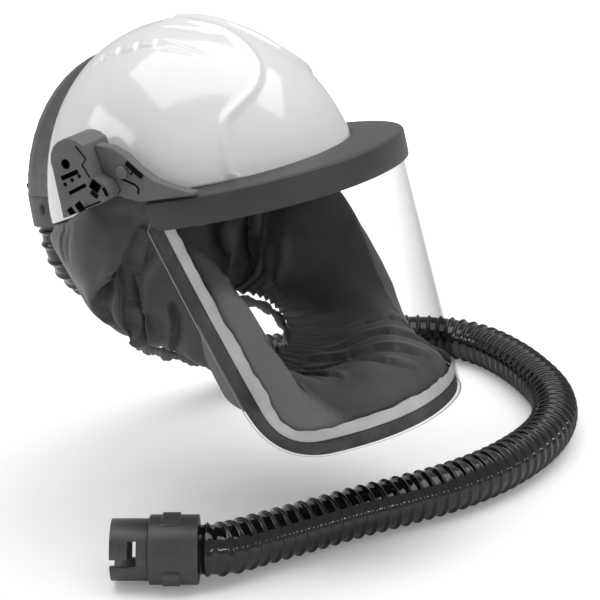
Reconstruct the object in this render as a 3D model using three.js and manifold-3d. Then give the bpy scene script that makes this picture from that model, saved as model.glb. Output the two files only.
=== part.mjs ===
import * as THREE from 'three';
import Module from 'manifold-3d';
import { mergeVertices } from 'three/addons/utils/BufferGeometryUtils.js';

// Helmet hood: white crown, clear visor under a brow band, cloth hood, air duct and breathing hose.
// Millimetres, +X to the wearer's left, -Y forward, +Z up. The origin is where the head sits,
// at the middle of the crown's lower opening.

const gap = 0.4;
const sheetGap = 0.9;

// Crown, a dome of rounded plan that leans back by crownTilt
const crownHalfWidth = 105.8;
const crownFront = 121.9;
const crownBack = 122.6;
const crownHeight = 143.6;
const crownWall = 2.6;
const crownPlanPower = 2.13;
const crownRisePower = 2.04;
const crownTilt = THREE.MathUtils.degToRad(19.9);
const rimFront = 14;
const rimSide = 30;
const rimBack = 21;

// Brow band and visor hang in one frame, leaning back by maskTilt
const maskTilt = THREE.MathUtils.degToRad(14.1);
const maskForward = 15;
const maskHeight = 35;
const browHalfWidth = 119;
const browReach = 137;
const browPower = 2.15;
const browHeight = 21;
const browWall = 3.2;
const browEdgeRound = 3;
const visorWall = 1.2;
const visorDrop = 182;
const visorTuck = 9;
const visorLean = 49;
const visorOverhang = 6;
const visorCorner = 34;
const visorFootWidth = 0.97;
const visorFootReach = 1.06;
const bandWidth = 11;
const bandWall = 1.6;
const trimWidth = 9.5;
const trimWall = 0.8;
const stripWidth = 17;
const stripWall = 1.6;
const stripReach = [0.22, 0.48];
const stripSetIn = 2.1;
const stripLap = 5;

// Pivot blocks and arms at the temples
const blockFace = 132;
const blockDepth = 31;
const blockPocket = 5;
const armFace = 120;
const armThickness = 9;
const bossRadius = 4.5;
const bossHeight = 3;
const padHeight = 1.4;

// Air duct down the back of the crown
const ductHalfWidth = 22;
const ductDepth = 37.5;
const ductWall = 2.5;
const ductTop = 0.76;
const ductSlope = 1.3;
const ductCrest = 3.5;
const outletRadius = 23;
const outletBore = 17;
const outletSetBack = 135;
const outletTop = 2;
const outletLength = 33;
const buttonLength = 9;
const buttonWidth = 4;

// Cloth
const clothWall = 1.5;
const hemHalfWidth = 64;
const hemHalfLength = 59;
const hemSetBack = -1;
const hemDrop = 123;
const hemRise = 23;
const hemBackRise = 15;
const hemCord = 4.2;
const hemRuffles = 19;
const hemRuffleDepth = 1.2;

// Hose and its end connector
const hoseRadius = 20;
const hoseBore = 16;
const floorLevel = -240;
const collarRadius = 25.4;
const collarBore = 18.5;
const collarLength = 36;
const tabHeight = 1.8;
const tabWidth = 14;
const tabLength = 13;
const tabCount = 3;
const spigotRadius = 22.6;
const spigotBore = 18.6;
const spigotLength = 27;
const bayonetSlot = 6.5;
const bayonetDepth = 19;
const bayonetTurn = 13;

const wasm = await Module();
wasm.setup();

const rad = THREE.MathUtils.degToRad;
const sides = { right: -1, left: 1 };

// A point of the crown's own frame, in the part's frame
function fromCrown(x, y, z) {
  return new THREE.Vector3(x, y, z).applyAxisAngle(new THREE.Vector3(1, 0, 0), -crownTilt);
}

// A point of the brow band's own frame, in the part's frame
function fromMask(x, y, z) {
  const point = new THREE.Vector3(x, y, z).applyAxisAngle(new THREE.Vector3(1, 0, 0), -maskTilt);
  return point.add(new THREE.Vector3(0, -maskForward, maskHeight));
}

function signedPower(value, power) {
  return Math.sign(value) * Math.abs(value) ** power;
}

// Mesh from rows of points: rows run along v, each row has the same count of points
function sheetFaces(rows, closed, flip, base, index) {
  const count = rows[0].length;
  const last = closed ? count : count - 1;
  for (let row = 0; row < rows.length - 1; row += 1) {
    for (let i = 0; i < last; i += 1) {
      const j = (i + 1) % count;
      const a = base + row * count + i;
      const b = base + row * count + j;
      const c = base + (row + 1) * count + j;
      const d = base + (row + 1) * count + i;
      if (flip) index.push(a, c, b, a, d, c);
      else index.push(a, b, c, a, c, d);
    }
  }
}

function geometryFrom(points, index) {
  const geometry = new THREE.BufferGeometry();
  const flat = points.flatMap((point) => [point.x, point.y, point.z]);
  geometry.setAttribute('position', new THREE.Float32BufferAttribute(flat, 3));
  geometry.setIndex(index);
  return outward(geometry);
}

// Turns a closed geometry's faces outwards, by the sign of its volume
function outward(geometry) {
  const position = geometry.getAttribute('position');
  const index = Array.from(geometry.getIndex().array);
  const corner = [new THREE.Vector3(), new THREE.Vector3(), new THREE.Vector3()];
  let volume = 0;
  for (let i = 0; i < index.length; i += 3) {
    corner.forEach((vector, k) => vector.fromBufferAttribute(position, index[i + k]));
    volume += corner[0].dot(corner[1].clone().cross(corner[2]));
  }
  if (volume < 0) {
    for (let i = 0; i < index.length; i += 3) [index[i], index[i + 1]] = [index[i + 1], index[i]];
    geometry.setIndex(index);
  }
  geometry.computeVertexNormals();
  return geometry;
}

// Closed wall between an outer and an inner sheet, each given as rows of points.
// A closed sheet joins round; its first and last rows get a rim, or one pole point each.
function wallBetween(outer, inner, closed, outerPole, innerPole) {
  const count = outer[0].length;
  const points = [...outer.flat(), ...inner.flat()];
  const innerBase = outer.length * count;
  const index = [];
  sheetFaces(outer, closed, false, 0, index);
  sheetFaces(inner, closed, true, innerBase, index);
  const last = closed ? count : count - 1;
  const topRow = (outer.length - 1) * count;
  for (let i = 0; i < last; i += 1) {
    const j = (i + 1) % count;
    index.push(i, innerBase + i, innerBase + j, i, innerBase + j, j);
    if (!outerPole) {
      const a = topRow + i;
      const b = topRow + j;
      index.push(a, b, innerBase + b, a, innerBase + b, innerBase + a);
    }
  }
  if (outerPole) {
    const tip = points.length;
    points.push(outerPole, innerPole);
    for (let i = 0; i < last; i += 1) {
      const j = (i + 1) % count;
      index.push(topRow + i, topRow + j, tip);
      index.push(innerBase + topRow + j, innerBase + topRow + i, tip + 1);
    }
  }
  if (!closed) {
    for (let row = 0; row < outer.length - 1; row += 1) {
      const a = row * count;
      const b = (row + 1) * count;
      index.push(a, b, innerBase + b, a, innerBase + b, innerBase + a);
      const c = a + count - 1;
      const d = b + count - 1;
      index.push(c, innerBase + c, innerBase + d, c, innerBase + d, d);
    }
  }
  return geometryFrom(points, index);
}

// Body lofted through sections, each a ring of points; a closed loft joins its last ring to its first
function loft(rings, closed) {
  const count = rings[0].length;
  const rows = closed ? [...rings, rings[0]] : rings;
  const points = rings.flat();
  const index = [];
  for (let row = 0; row < rows.length - 1; row += 1) {
    const next = (row + 1) % rings.length;
    for (let i = 0; i < count; i += 1) {
      const j = (i + 1) % count;
      const a = row * count + i;
      const b = row * count + j;
      index.push(a, b, next * count + j, a, next * count + j, next * count + i);
    }
  }
  if (!closed) {
    const tail = (rings.length - 1) * count;
    for (const [ring, base, flip] of [[rings[0], 0, true], [rings[rings.length - 1], tail, false]]) {
      for (const [a, b, c] of THREE.ShapeUtils.triangulateShape(flatRing(ring), [])) {
        if (flip) index.push(base + a, base + c, base + b);
        else index.push(base + a, base + b, base + c);
      }
    }
  }
  return geometryFrom(points, index);
}

// The ring's points in its own plane, counterclockwise as its normal by Newell's sum sees it
function flatRing(ring) {
  const normal = new THREE.Vector3();
  ring.forEach((a, i) => normal.add(a.clone().cross(ring[(i + 1) % ring.length])));
  normal.normalize();
  const across = ring[1].clone().sub(ring[0]).normalize();
  const along = normal.clone().cross(across);
  return ring.map((point) => new THREE.Vector2(point.dot(across), point.dot(along)));
}

// Boolean cuts and joins
function toSolid(geometry) {
  const bare = geometry.clone();
  bare.deleteAttribute('normal');
  bare.deleteAttribute('uv');
  const merged = mergeVertices(bare, 1e-4);
  return new wasm.Manifold(new wasm.Mesh({
    numProp: 3,
    vertProperties: new Float32Array(merged.getAttribute('position').array),
    triVerts: new Uint32Array(merged.getIndex().array),
  }));
}

function fromSolid(solid) {
  const mesh = solid.getMesh();
  const geometry = new THREE.BufferGeometry();
  const flat = [];
  for (let i = 0; i < mesh.numVert; i += 1) {
    for (let k = 0; k < 3; k += 1) flat.push(mesh.vertProperties[i * mesh.numProp + k]);
  }
  geometry.setAttribute('position', new THREE.Float32BufferAttribute(flat, 3));
  geometry.setIndex(Array.from(mesh.triVerts));
  geometry.computeVertexNormals();
  return geometry;
}

function cut(geometry, tools) {
  return fromSolid(tools.reduce((solid, tool) => solid.subtract(toSolid(tool)), toSolid(geometry)));
}

function join(geometry, extras) {
  return fromSolid(extras.reduce((solid, extra) => solid.add(toSolid(extra)), toSolid(geometry)));
}

// Crown surface: turn is measured from the front round to the back, lift from the rim (0) to the top (1)
function crownPoint(turn, rise, offset) {
  const swing = Math.cos(rise) ** (2 / crownRisePower);
  const height = Math.sin(rise) ** (2 / crownRisePower) * (crownHeight + offset);
  const reach = Math.cos(turn) > 0 ? crownFront : crownBack;
  const x = (crownHalfWidth + offset) * signedPower(Math.sin(turn), 2 / crownPlanPower) * swing;
  const y = -(reach + offset) * signedPower(Math.cos(turn), 2 / crownPlanPower) * swing;
  return new THREE.Vector3(x, y, height);
}

// Height of the rim above the crown's own base, high over the ears
function rimHeight(turn) {
  const ends = Math.cos(turn) > 0 ? rimFront : rimBack;
  return rimSide + (ends - rimSide) * Math.cos(turn) ** 2;
}

function riseAt(height) {
  return Math.asin((height / crownHeight) ** (crownRisePower / 2));
}

function crownRows(offset, turns, steps, low) {
  const rows = [];
  for (let step = 0; step < steps; step += 1) {
    const row = [];
    for (let i = 0; i < turns; i += 1) {
      const turn = (i / turns) * 2 * Math.PI;
      const start = low ?? riseAt(rimHeight(turn));
      row.push(crownPoint(turn, start + (Math.PI / 2 - start) * (step / steps), offset));
    }
    rows.push(row);
  }
  return rows;
}

function placed(rows, place) {
  return rows.map((row) => row.map((point) => place(point.x, point.y, point.z)));
}

function makeShell() {
  const turns = 44;
  const steps = 10;
  const top = fromCrown(0, 0, crownHeight);
  const under = fromCrown(0, 0, crownHeight - crownWall);
  const outer = placed(crownRows(0, turns, steps), fromCrown);
  const inner = placed(crownRows(-crownWall, turns, steps), fromCrown);
  return wallBetween(outer, inner, true, top, under);
}

// Closed copy of the crown's outside, grown by the gap, that cuts what rests against it
function crownCutter() {
  const turns = 44;
  const steps = 14;
  const skirt = 90;
  const rows = crownRows(gap, turns, steps, 0.02);
  const foot = rows[0].map((point) => new THREE.Vector3(point.x, point.y, -skirt));
  const rings = [foot, ...rows];
  const points = rings.flat();
  const index = [];
  sheetFaces(rings, true, false, 0, index);
  const top = points.push(new THREE.Vector3(0, 0, crownHeight + gap)) - 1;
  const bottom = points.push(new THREE.Vector3(0, 0, -skirt)) - 1;
  for (let i = 0; i < turns; i += 1) {
    const j = (i + 1) % turns;
    const last = (rings.length - 1) * turns;
    index.push(last + i, last + j, top, j, i, bottom);
  }
  const turned = points.map((point) => fromCrown(point.x, point.y, point.z));
  return geometryFrom(turned, index);
}

// Plan curve of the brow band, from the right temple round the front to the left temple
class PlanCurve extends THREE.Curve {
  constructor(halfWidth, reach) {
    super();
    this.halfWidth = halfWidth;
    this.reach = reach;
    this.arcLengthDivisions = 600;
  }

  getPoint(t) {
    const turn = (t - 0.5) * Math.PI;
    const x = this.halfWidth * signedPower(Math.sin(turn), 2 / browPower);
    const y = -this.reach * signedPower(Math.cos(turn), 2 / browPower);
    return new THREE.Vector3(x, y, 0);
  }
}

// Point on the plan curve at a length from the front centre, moved inwards by inset
function planPoint(curve, length, inset) {
  const u = THREE.MathUtils.clamp(0.5 + length / curve.getLength(), 0, 1);
  const beyond = Math.max(Math.abs(length) - curve.getLength() / 2, 0);
  const point = curve.getPointAt(u);
  const tangent = curve.getTangentAt(THREE.MathUtils.clamp(u, 0.0005, 0.9995));
  point.y += beyond;
  return point.add(new THREE.Vector3(-tangent.y, tangent.x, 0).multiplyScalar(inset));
}

const browPlan = new PlanCurve(browHalfWidth, browReach);
const visorPlan = new PlanCurve(browHalfWidth - browWall - gap, browReach - browWall - gap);

function makeBrow(cutter) {
  const stations = 34;
  const depth = 52;
  const sideDepth = 20;
  const rings = [];
  for (let i = 0; i <= stations; i += 1) {
    const length = (i / stations - 0.5) * browPlan.getLength();
    const share = Math.cos((i / stations - 0.5) * Math.PI) ** 0.5;
    const width = sideDepth + (depth - sideDepth) * share;
    const section = [
      [0, -browHeight],
      [0, -browEdgeRound],
      [browEdgeRound * 0.3, -browEdgeRound * 0.3],
      [browEdgeRound, 0],
      [width, 1.5],
      [width, -browWall],
      [browWall, -browWall],
      [browWall, -browHeight],
    ];
    rings.push(section.map(([inset, z]) => {
      const point = planPoint(browPlan, length, inset);
      return fromMask(point.x, point.y, z);
    }));
  }
  return cut(loft(rings, false), [cutter]);
}

// Point of the visor's outer face: length from the front centre, drop below the brow band
function visorPoint(length, drop, inset) {
  const point = planPoint(visorPlan, length, inset);
  const share = Math.max(drop, 0) / visorDrop;
  const x = point.x * (1 + (visorFootWidth - 1) * share);
  const y = point.y * (1 + (visorFootReach - 1) * share);
  return fromMask(x, y, -browHeight - drop);
}

// The visor's cut edge on one side, flat: from the temple down, round the corner, to the front centre.
// margin moves it inwards from the edge.
function visorEdge(margin) {
  const top = new THREE.Vector2(visorPlan.getLength() / 2 + visorOverhang, 0);
  const lean = new THREE.Vector2(-visorLean, visorDrop).normalize();
  const inner = new THREE.Vector2(-lean.y, lean.x).multiplyScalar(margin);
  const start = top.clone().add(inner);
  const foot = visorDrop - margin;
  const corner = start.clone().addScaledVector(lean, (foot - start.y) / lean.y);
  const radius = visorCorner - margin;
  const bend = Math.acos(-lean.x);
  const back = radius * Math.tan((Math.PI - bend) / 2);
  const before = corner.clone().addScaledVector(lean, -back);
  const after = new THREE.Vector2(corner.x - back, foot);
  const path = new THREE.CurvePath();
  path.add(new THREE.LineCurve(start, before));
  path.add(new THREE.QuadraticBezierCurve(before, corner, after));
  path.add(new THREE.LineCurve(after, new THREE.Vector2(0, foot)));
  return path;
}

// Points of the whole edge from the right temple to the left one, count steps to a side
function edgePoints(margin, count) {
  const half = visorEdge(margin).getSpacedPoints(count);
  const right = half.map((point) => new THREE.Vector2(-point.x, point.y));
  return [...right, ...half.slice(0, -1).reverse()];
}

function makeVisor() {
  const count = 17;
  const steps = 5;
  const edge = edgePoints(0, count);
  const topLength = visorPlan.getLength();
  const sheet = (inset) => {
    const rows = [];
    for (let step = 0; step <= steps; step += 1) {
      const share = step / steps;
      rows.push(edge.map((point, i) => {
        const length = (i / (edge.length - 1) - 0.5) * topLength;
        const along = THREE.MathUtils.lerp(length, point.x, share);
        return visorPoint(along, THREE.MathUtils.lerp(-visorTuck, point.y, share), inset);
      }));
    }
    return rows;
  };
  return wallBetween(sheet(0), sheet(visorWall), false);
}

// Strip that follows the visor's edge, between two margins from it and two depths inside it
function edgeStrip(marginA, marginB, insetA, insetB, count, from, to) {
  const edgeA = edgePoints(marginA, count);
  const edgeB = edgePoints(marginB, count);
  const rings = [];
  const first = Math.round(from * (edgeA.length - 1));
  const last = Math.round(to * (edgeA.length - 1));
  for (let i = first; i <= last; i += 1) {
    rings.push([
      visorPoint(edgeA[i].x, edgeA[i].y, insetA),
      visorPoint(edgeB[i].x, edgeB[i].y, insetA),
      visorPoint(edgeB[i].x, edgeB[i].y, insetB),
      visorPoint(edgeA[i].x, edgeA[i].y, insetB),
    ]);
  }
  return loft(rings, false);
}

const bandInset = visorWall + sheetGap;
const clothInset = bandInset + bandWall + sheetGap;

function makeBand() {
  return edgeStrip(0.6, bandWidth, bandInset, bandInset + bandWall, 18, 0, 1);
}

function makeTrim() {
  const start = bandWidth + gap;
  return edgeStrip(start, start + trimWidth, bandInset, bandInset + trimWall, 18, 0, 1);
}

// Outline in the side plane (forward and up), pushed out from depth near to depth far on one side
function sidePlate(outline, near, far, side) {
  const shape = new THREE.Shape(outline.map(([y, z]) => new THREE.Vector2(y, z)));
  const geometry = new THREE.ExtrudeGeometry(shape, { depth: far - near, bevelEnabled: false });
  const bare = mergeVertices(stripped(geometry), 1e-4);
  const position = bare.getAttribute('position');
  for (let i = 0; i < position.count; i += 1) {
    const y = position.getX(i);
    const z = position.getY(i);
    position.setXYZ(i, side * (near + position.getZ(i)), y, z);
  }
  return outward(bare);
}

function stripped(geometry) {
  geometry.deleteAttribute('normal');
  geometry.deleteAttribute('uv');
  return geometry;
}

function roundedTop(centre, radius, from, to, count) {
  const points = [];
  for (let i = 0; i <= count; i += 1) {
    const turn = rad(from + ((to - from) * i) / count);
    points.push([centre[0] + radius * Math.cos(turn), centre[1] + radius * Math.sin(turn)]);
  }
  return points;
}

const blockCentre = [36, 62];
const blockRadius = 16.5;
const blockFoot = [[44, 20], [26, 28], [10, 36], [4, 43]];
const blockFront = [[8, 49.5], [17, 53], [21, 64]];
const blockOutline = [
  ...blockFront,
  ...roundedTop(blockCentre, blockRadius, 130, -25, 8),
  ...blockFoot,
];

function ringOutline(centre, radius, count) {
  return roundedTop(centre, radius, 0, 360 - 360 / count, count - 1);
}

// Slanted slot between two ends, in the side plane
function slotOutline(from, to, width) {
  const along = new THREE.Vector2(to[0] - from[0], to[1] - from[1]).normalize();
  const across = new THREE.Vector2(-along.y, along.x).multiplyScalar(width / 2);
  return [
    [from[0] + across.x, from[1] + across.y],
    [from[0] - across.x, from[1] - across.y],
    [to[0] - across.x, to[1] - across.y],
    [to[0] + across.x, to[1] + across.y],
  ];
}

const blockSlots = [
  { from: [44, 49], to: [30, 56], width: 3.2 },
  { from: [38, 39], to: [24, 47], width: 2.6 },
  { from: [20, 49], to: [13, 45], width: 7 },
  { from: [32, 33], to: [27, 27], width: 6 },
  { from: [39, 28], to: [35, 23.5], width: 5 },
];
const blockHole = { centre: [40, 60], radius: 3.6 };

function makeBlock(side, cutter) {
  const near = blockFace - blockDepth;
  const body = sidePlate(blockOutline, near, blockFace, side);
  const floor = blockFace - blockPocket;
  const tools = blockSlots.map((slot) => {
    return sidePlate(slotOutline(slot.from, slot.to, slot.width), floor, blockFace + 5, side);
  });
  tools.push(sidePlate(ringOutline(blockHole.centre, blockHole.radius, 10), floor, blockFace + 5, side));
  return cut(body, [cutter, ...tools]);
}

// The arm's lower edge follows the top of the brow band
function browTopAt(y) {
  return maskHeight - (y + maskForward) * Math.tan(maskTilt);
}

const armReach = -54;
const armSeat = 1.9;

function makeArm(side, cutter) {
  const outline = [
    [armReach, browTopAt(armReach) + armSeat],
    [armReach, browTopAt(armReach) + armSeat + 1],
    [-35, 50],
    [-23, 53],
    [-11, 59.5],
    [0, 68],
    [11, 72.5],
    [23, 73],
    [23, 44],
    [7, 39.5],
    [2, 37.5],
    [-12, browTopAt(-12) + armSeat],
  ];
  const body = sidePlate(outline, armFace - armThickness, armFace, side);
  const grown = blockOutline.map(([y, z]) => [26 + (y - 26) * 1.03, 48 + (z - 48) * 1.03]);
  return cut(body, [sidePlate(grown, armFace - 30, blockFace + 5, side), cutter]);
}

function makeBoss(side) {
  const outline = ringOutline([1, 56], bossRadius, 12);
  return sidePlate(outline, armFace + gap / 2, armFace + gap / 2 + bossHeight, side);
}

function makePad(side) {
  const outline = slotOutline([-2.5, 63.5], [-15, 54.5], 3.6);
  return sidePlate(outline, armFace + gap / 2, armFace + gap / 2 + padHeight, side);
}

// Duct: a patch of the crown's back lifted off it, deeper towards the nape, hollow from below
function ductPatch(halfWidth, lowLift, highLift, topShare, columns, steps, foot) {
  const rows = [[], []];
  const start = riseAt(foot);
  const end = (Math.PI / 2) * topShare;
  for (let step = 0; step <= steps; step += 1) {
    const share = step / steps;
    const rise = start + (end - start) * share;
    const outerRow = [];
    const innerRow = [];
    for (let i = 0; i <= columns; i += 1) {
      const across = (i / columns) * 2 - 1;
      const x = halfWidth * across * (1 - 0.25 * share);
      const turn = Math.PI - Math.asin(x / crownHalfWidth);
      const crowned = 1 - 0.22 * across ** 4 - 0.06 * across ** 2;
      const lift = highLift(share) * crowned;
      const base = crownPoint(turn, rise, lowLift);
      const lean = new THREE.Vector3(0, Math.cos(rise * 0.95), Math.sin(rise * 0.95));
      outerRow.push(base.clone().addScaledVector(lean, lift));
      innerRow.push(base);
    }
    rows[0].push(outerRow);
    rows[1].push(innerRow);
  }
  return wallBetween(placed(rows[0], fromCrown), placed(rows[1], fromCrown), false);
}

const ductFoot = 38;

function ductLift(share) {
  return ductDepth * (1 - share ** ductSlope) + ductCrest * share;
}

function makeDuct(cutter) {
  const inside = (share) => Math.max(ductLift(share) - ductWall, 0.5);
  const body = ductPatch(ductHalfWidth, -2, ductLift, ductTop, 8, 10, ductFoot);
  const hollow = ductPatch(ductHalfWidth - ductWall, -4, inside, ductTop * 0.75, 6, 8, ductFoot - 12);
  return cut(body, [hollow, cutter]);
}

// Ring or disc of the given outline radius, along a straight axis from one point to another
function tubeAlong(start, end, radius, bore, segments) {
  const axis = end.clone().sub(start);
  const length = axis.length();
  const shape = new THREE.Shape(circlePoints(radius, segments));
  if (bore) shape.holes.push(new THREE.Path(circlePoints(bore, segments)));
  const geometry = stripped(new THREE.ExtrudeGeometry(shape, { depth: length, bevelEnabled: false }));
  geometry.applyQuaternion(new THREE.Quaternion().setFromUnitVectors(
    new THREE.Vector3(0, 0, 1),
    axis.normalize(),
  ));
  geometry.translate(start.x, start.y, start.z);
  return outward(mergeVertices(geometry, 1e-4));
}

function circlePoints(radius, segments) {
  const points = [];
  for (let i = 0; i < segments; i += 1) {
    const turn = (i / segments) * 2 * Math.PI;
    points.push(new THREE.Vector2(radius * Math.cos(turn), radius * Math.sin(turn)));
  }
  return points;
}

// The outlet collar leans forward so that the hose leaves down and towards the neck
const exitLean = rad(9);
const outletAxis = new THREE.Vector3(0, -Math.sin(exitLean), -Math.cos(exitLean));
const outletStart = new THREE.Vector3(0, outletSetBack + 6, outletTop);
const outletEnd = outletStart.clone().addScaledVector(outletAxis, outletLength);

function makeOutlet(cutter) {
  const body = tubeAlong(outletStart, outletEnd, outletRadius, outletBore, 16);
  const width = Math.max(ductHalfWidth, outletRadius) + ductWall;
  const lift = (share) => ductLift(share) + ductWall;
  const seat = ductPatch(width, -2, lift, ductTop, 8, 10, ductFoot - gap);
  return cut(body, [cutter, seat]);
}

function makeButton() {
  const shape = new THREE.Shape();
  shape.absellipse(0, 0, buttonWidth / 2, buttonLength / 2, 0, 2 * Math.PI);
  const geometry = stripped(new THREE.ExtrudeGeometry(shape, {
    depth: 1.6,
    bevelEnabled: false,
    curveSegments: 3,
  }));
  geometry.rotateX(Math.PI / 2);
  geometry.rotateZ(-Math.PI / 2);
  geometry.rotateX(-exitLean);
  const middle = outletStart.clone().addScaledVector(outletAxis, outletLength * 0.55);
  geometry.translate(-outletRadius - gap * 0.75, middle.y, middle.z);
  return outward(mergeVertices(geometry, 1e-4));
}

// Hem: a ring round the neck opening, highest over the shoulders and lowest at the throat
function hemPoint(turn) {
  const cosine = Math.cos(turn);
  const lift = hemRise * Math.sin(turn) ** 2 + (cosine < 0 ? hemBackRise * cosine ** 2 : 0);
  const y = hemSetBack - hemHalfLength * cosine;
  return new THREE.Vector3(hemHalfWidth * Math.sin(turn), y, lift - hemDrop);
}

function makeHem() {
  const stations = hemRuffles * 3;
  const rings = [];
  for (let i = 0; i < stations; i += 1) {
    const turn = (i / stations) * 2 * Math.PI;
    const centre = hemPoint(turn);
    const swell = hemCord + hemRuffleDepth * Math.cos(turn * hemRuffles);
    const outwards = new THREE.Vector3(Math.sin(turn), -Math.cos(turn), 0);
    const ring = [];
    for (let k = 0; k < 6; k += 1) {
      const around = (k / 6) * 2 * Math.PI;
      const point = centre.clone().addScaledVector(outwards, swell * Math.cos(around) * 0.7);
      point.z += swell * Math.sin(around);
      ring.push(point);
    }
    rings.push(ring);
  }
  return loft(rings, true);
}

// Sections of the hood, one row for each place along half of its top edge: at 0 the front centre of
// the visor, at 1 the nape. Lip, mid and low are the three points that the cloth passes between its
// top edge and the hem. Across is a share of the brow's half width, along of its reach in front of
// the origin and of the crown's length behind it, down of the visor's drop.
const hoodColumns = ['at', 'lip', 'mid', 'low'];
const hoodTable = [
  [0.00, [0.00, -1.38, 0.600], [0.00, -1.10, 0.540], [0.00, -0.77, 0.615]],
  [0.10, [0.39, -1.28, 0.605], [0.33, -1.02, 0.535], [0.24, -0.71, 0.605]],
  [0.22, [0.70, -1.03, 0.655], [0.60, -0.94, 0.550], [0.42, -0.62, 0.595]],
  [0.32, [0.78, -0.91, 0.570], [0.69, -0.77, 0.495], [0.55, -0.50, 0.570]],
  [0.42, [0.82, -0.79, 0.400], [0.75, -0.55, 0.395], [0.65, -0.30, 0.540]],
  [0.52, [0.84, -0.60, 0.190], [0.77, -0.31, 0.250], [0.71, -0.14, 0.485]],
  [0.60, [0.86, -0.38, 0.020], [0.78, -0.12, 0.165], [0.74, -0.04, 0.445]],
  [0.68, [0.90, 0.07, -0.070], [0.94, 0.11, 0.165], [0.80, 0.10, 0.460]],
  [0.76, [0.87, 0.42, -0.010], [0.90, 0.36, 0.200], [0.71, 0.28, 0.435]],
  [0.86, [0.61, 0.77, 0.110], [0.63, 0.63, 0.270], [0.46, 0.45, 0.470]],
  [0.93, [0.33, 0.90, 0.165], [0.35, 0.80, 0.315], [0.28, 0.55, 0.520]],
  [1.00, [0.00, 0.78, 0.150], [0.00, 0.68, 0.360], [0.00, 0.56, 0.540]],
].map((row) => Object.fromEntries(hoodColumns.map((name, i) => [name, row[i]])));

function hoodSize([across, along, down]) {
  const length = along < 0 ? browReach : crownBack;
  return new THREE.Vector3(across * browHalfWidth, along * length, -down * visorDrop);
}

// Smooth value of one column at a place, through the table's rows
function hoodColumn(name, at) {
  let row = 0;
  while (row < hoodTable.length - 2 && hoodTable[row + 1].at < at) row += 1;
  const pick = (i) => hoodSize(hoodTable[THREE.MathUtils.clamp(i, 0, hoodTable.length - 1)][name]);
  const mirror = (i) => {
    if (i >= 0 && i < hoodTable.length) return pick(i);
    const near = pick(i < 0 ? -i : 2 * (hoodTable.length - 1) - i);
    return new THREE.Vector3(-near.x, near.y, near.z);
  };
  const share = (at - hoodTable[row].at) / (hoodTable[row + 1].at - hoodTable[row].at);
  const [a, b, c, d] = [mirror(row - 1), pick(row), pick(row + 1), mirror(row + 2)];
  const result = new THREE.Vector3();
  for (const axis of ['x', 'y', 'z']) {
    const slopeB = (c[axis] - a[axis]) / 2;
    const slopeC = (d[axis] - b[axis]) / 2;
    const s2 = share * share;
    const s3 = s2 * share;
    result[axis] = b[axis] * (2 * s3 - 3 * s2 + 1) + slopeB * (s3 - 2 * s2 + share);
    result[axis] += c[axis] * (3 * s2 - 2 * s3) + slopeC * (s3 - s2);
  }
  return result;
}

const hoodBoundary = 0.62;
const hoodRimStart = 0.67;
const rimTurnStart = rad(97);
const hoodEdge = visorEdge(bandWidth * 0.5);

function rimAttach(turn) {
  const rise = riseAt(rimHeight(turn));
  const point = crownPoint(turn, rise, -crownWall / 2);
  point.z -= clothWall;
  return fromCrown(point.x, point.y, point.z);
}

// Top edge of the hood on its left half: along the visor's edge, then under the crown's rim
function hoodTop(at) {
  if (at <= hoodBoundary) {
    const flat = hoodEdge.getPointAt(1 - Math.min(at / hoodBoundary, 1) * 0.985);
    return visorPoint(flat.x, flat.y, clothInset + clothWall);
  }
  if (at < hoodRimStart) {
    const share = (at - hoodBoundary) / (hoodRimStart - hoodBoundary);
    return hoodTop(hoodBoundary).lerp(rimAttach(rimTurnStart), share);
  }
  const share = (at - hoodRimStart) / (1 - hoodRimStart);
  const point = rimAttach(rimTurnStart + (Math.PI - rimTurnStart) * share);
  return point;
}

function hemTurn(at) {
  const quarter = 0.6;
  if (at < quarter) return (at / quarter) * (Math.PI / 2);
  return (Math.PI / 2) * (1 + (at - quarter) / (1 - quarter));
}

// Folds: a side, a place along the top edge, a spread, a depth (inwards) and where it starts and ends
const foldDepth = 20;
const foldColumns = ['side', 'at', 'spread', 'depth', 'from', 'to'];
const foldTable = [
  [-1, 0.655, 0.012, 0.60, 0.15, 0.95],
  [-1, 0.715, 0.022, 0.75, 0.50, 0.98],
  [-1, 0.690, 0.016, -0.25, 0.35, 0.95],
  [-1, 0.800, 0.030, 0.20, 0.45, 0.98],
  [1, 0.655, 0.014, 0.50, 0.15, 0.95],
  [1, 0.740, 0.024, 0.55, 0.40, 0.98],
  [1, 0.840, 0.030, 0.35, 0.40, 0.98],
  [-1, 0.060, 0.030, 0.25, 0.35, 0.90],
  [1, 0.090, 0.028, 0.30, 0.30, 0.90],
  [1, 0.200, 0.030, 0.35, 0.35, 0.90],
].map((row) => Object.fromEntries(foldColumns.map((name, i) => [name, row[i]])));

function foldInwards(side, at, v) {
  let depth = 0;
  for (const fold of foldTable) {
    if (fold.side === side || at < 1e-6 || at > 1 - 1e-6) {
      const across = Math.exp(-(((at - fold.at) / fold.spread) ** 2));
      const middle = (fold.from + fold.to) / 2;
      const half = (fold.to - fold.from) / 2;
      const along = Math.max(0, 1 - ((v - middle) / half) ** 2);
      depth += fold.depth * foldDepth * across * along;
    }
  }
  return depth;
}

const hemClearance = hemCord + hemRuffleDepth + clothWall + gap;

function hoodPoint(side, at, v) {
  const top = hoodTop(at);
  const foot = hemPoint(hemTurn(at));
  foot.z += hemClearance;
  const knots = [top, hoodColumn('lip', at), hoodColumn('mid', at), hoodColumn('low', at), foot];
  const point = new THREE.CatmullRomCurve3(knots, false, 'centripetal').getPoint(v);
  const radial = new THREE.Vector3(point.x, point.y, 0).normalize();
  point.addScaledVector(radial, -foldInwards(side, at, v));
  return new THREE.Vector3(side * point.x, point.y, point.z);
}

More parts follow.
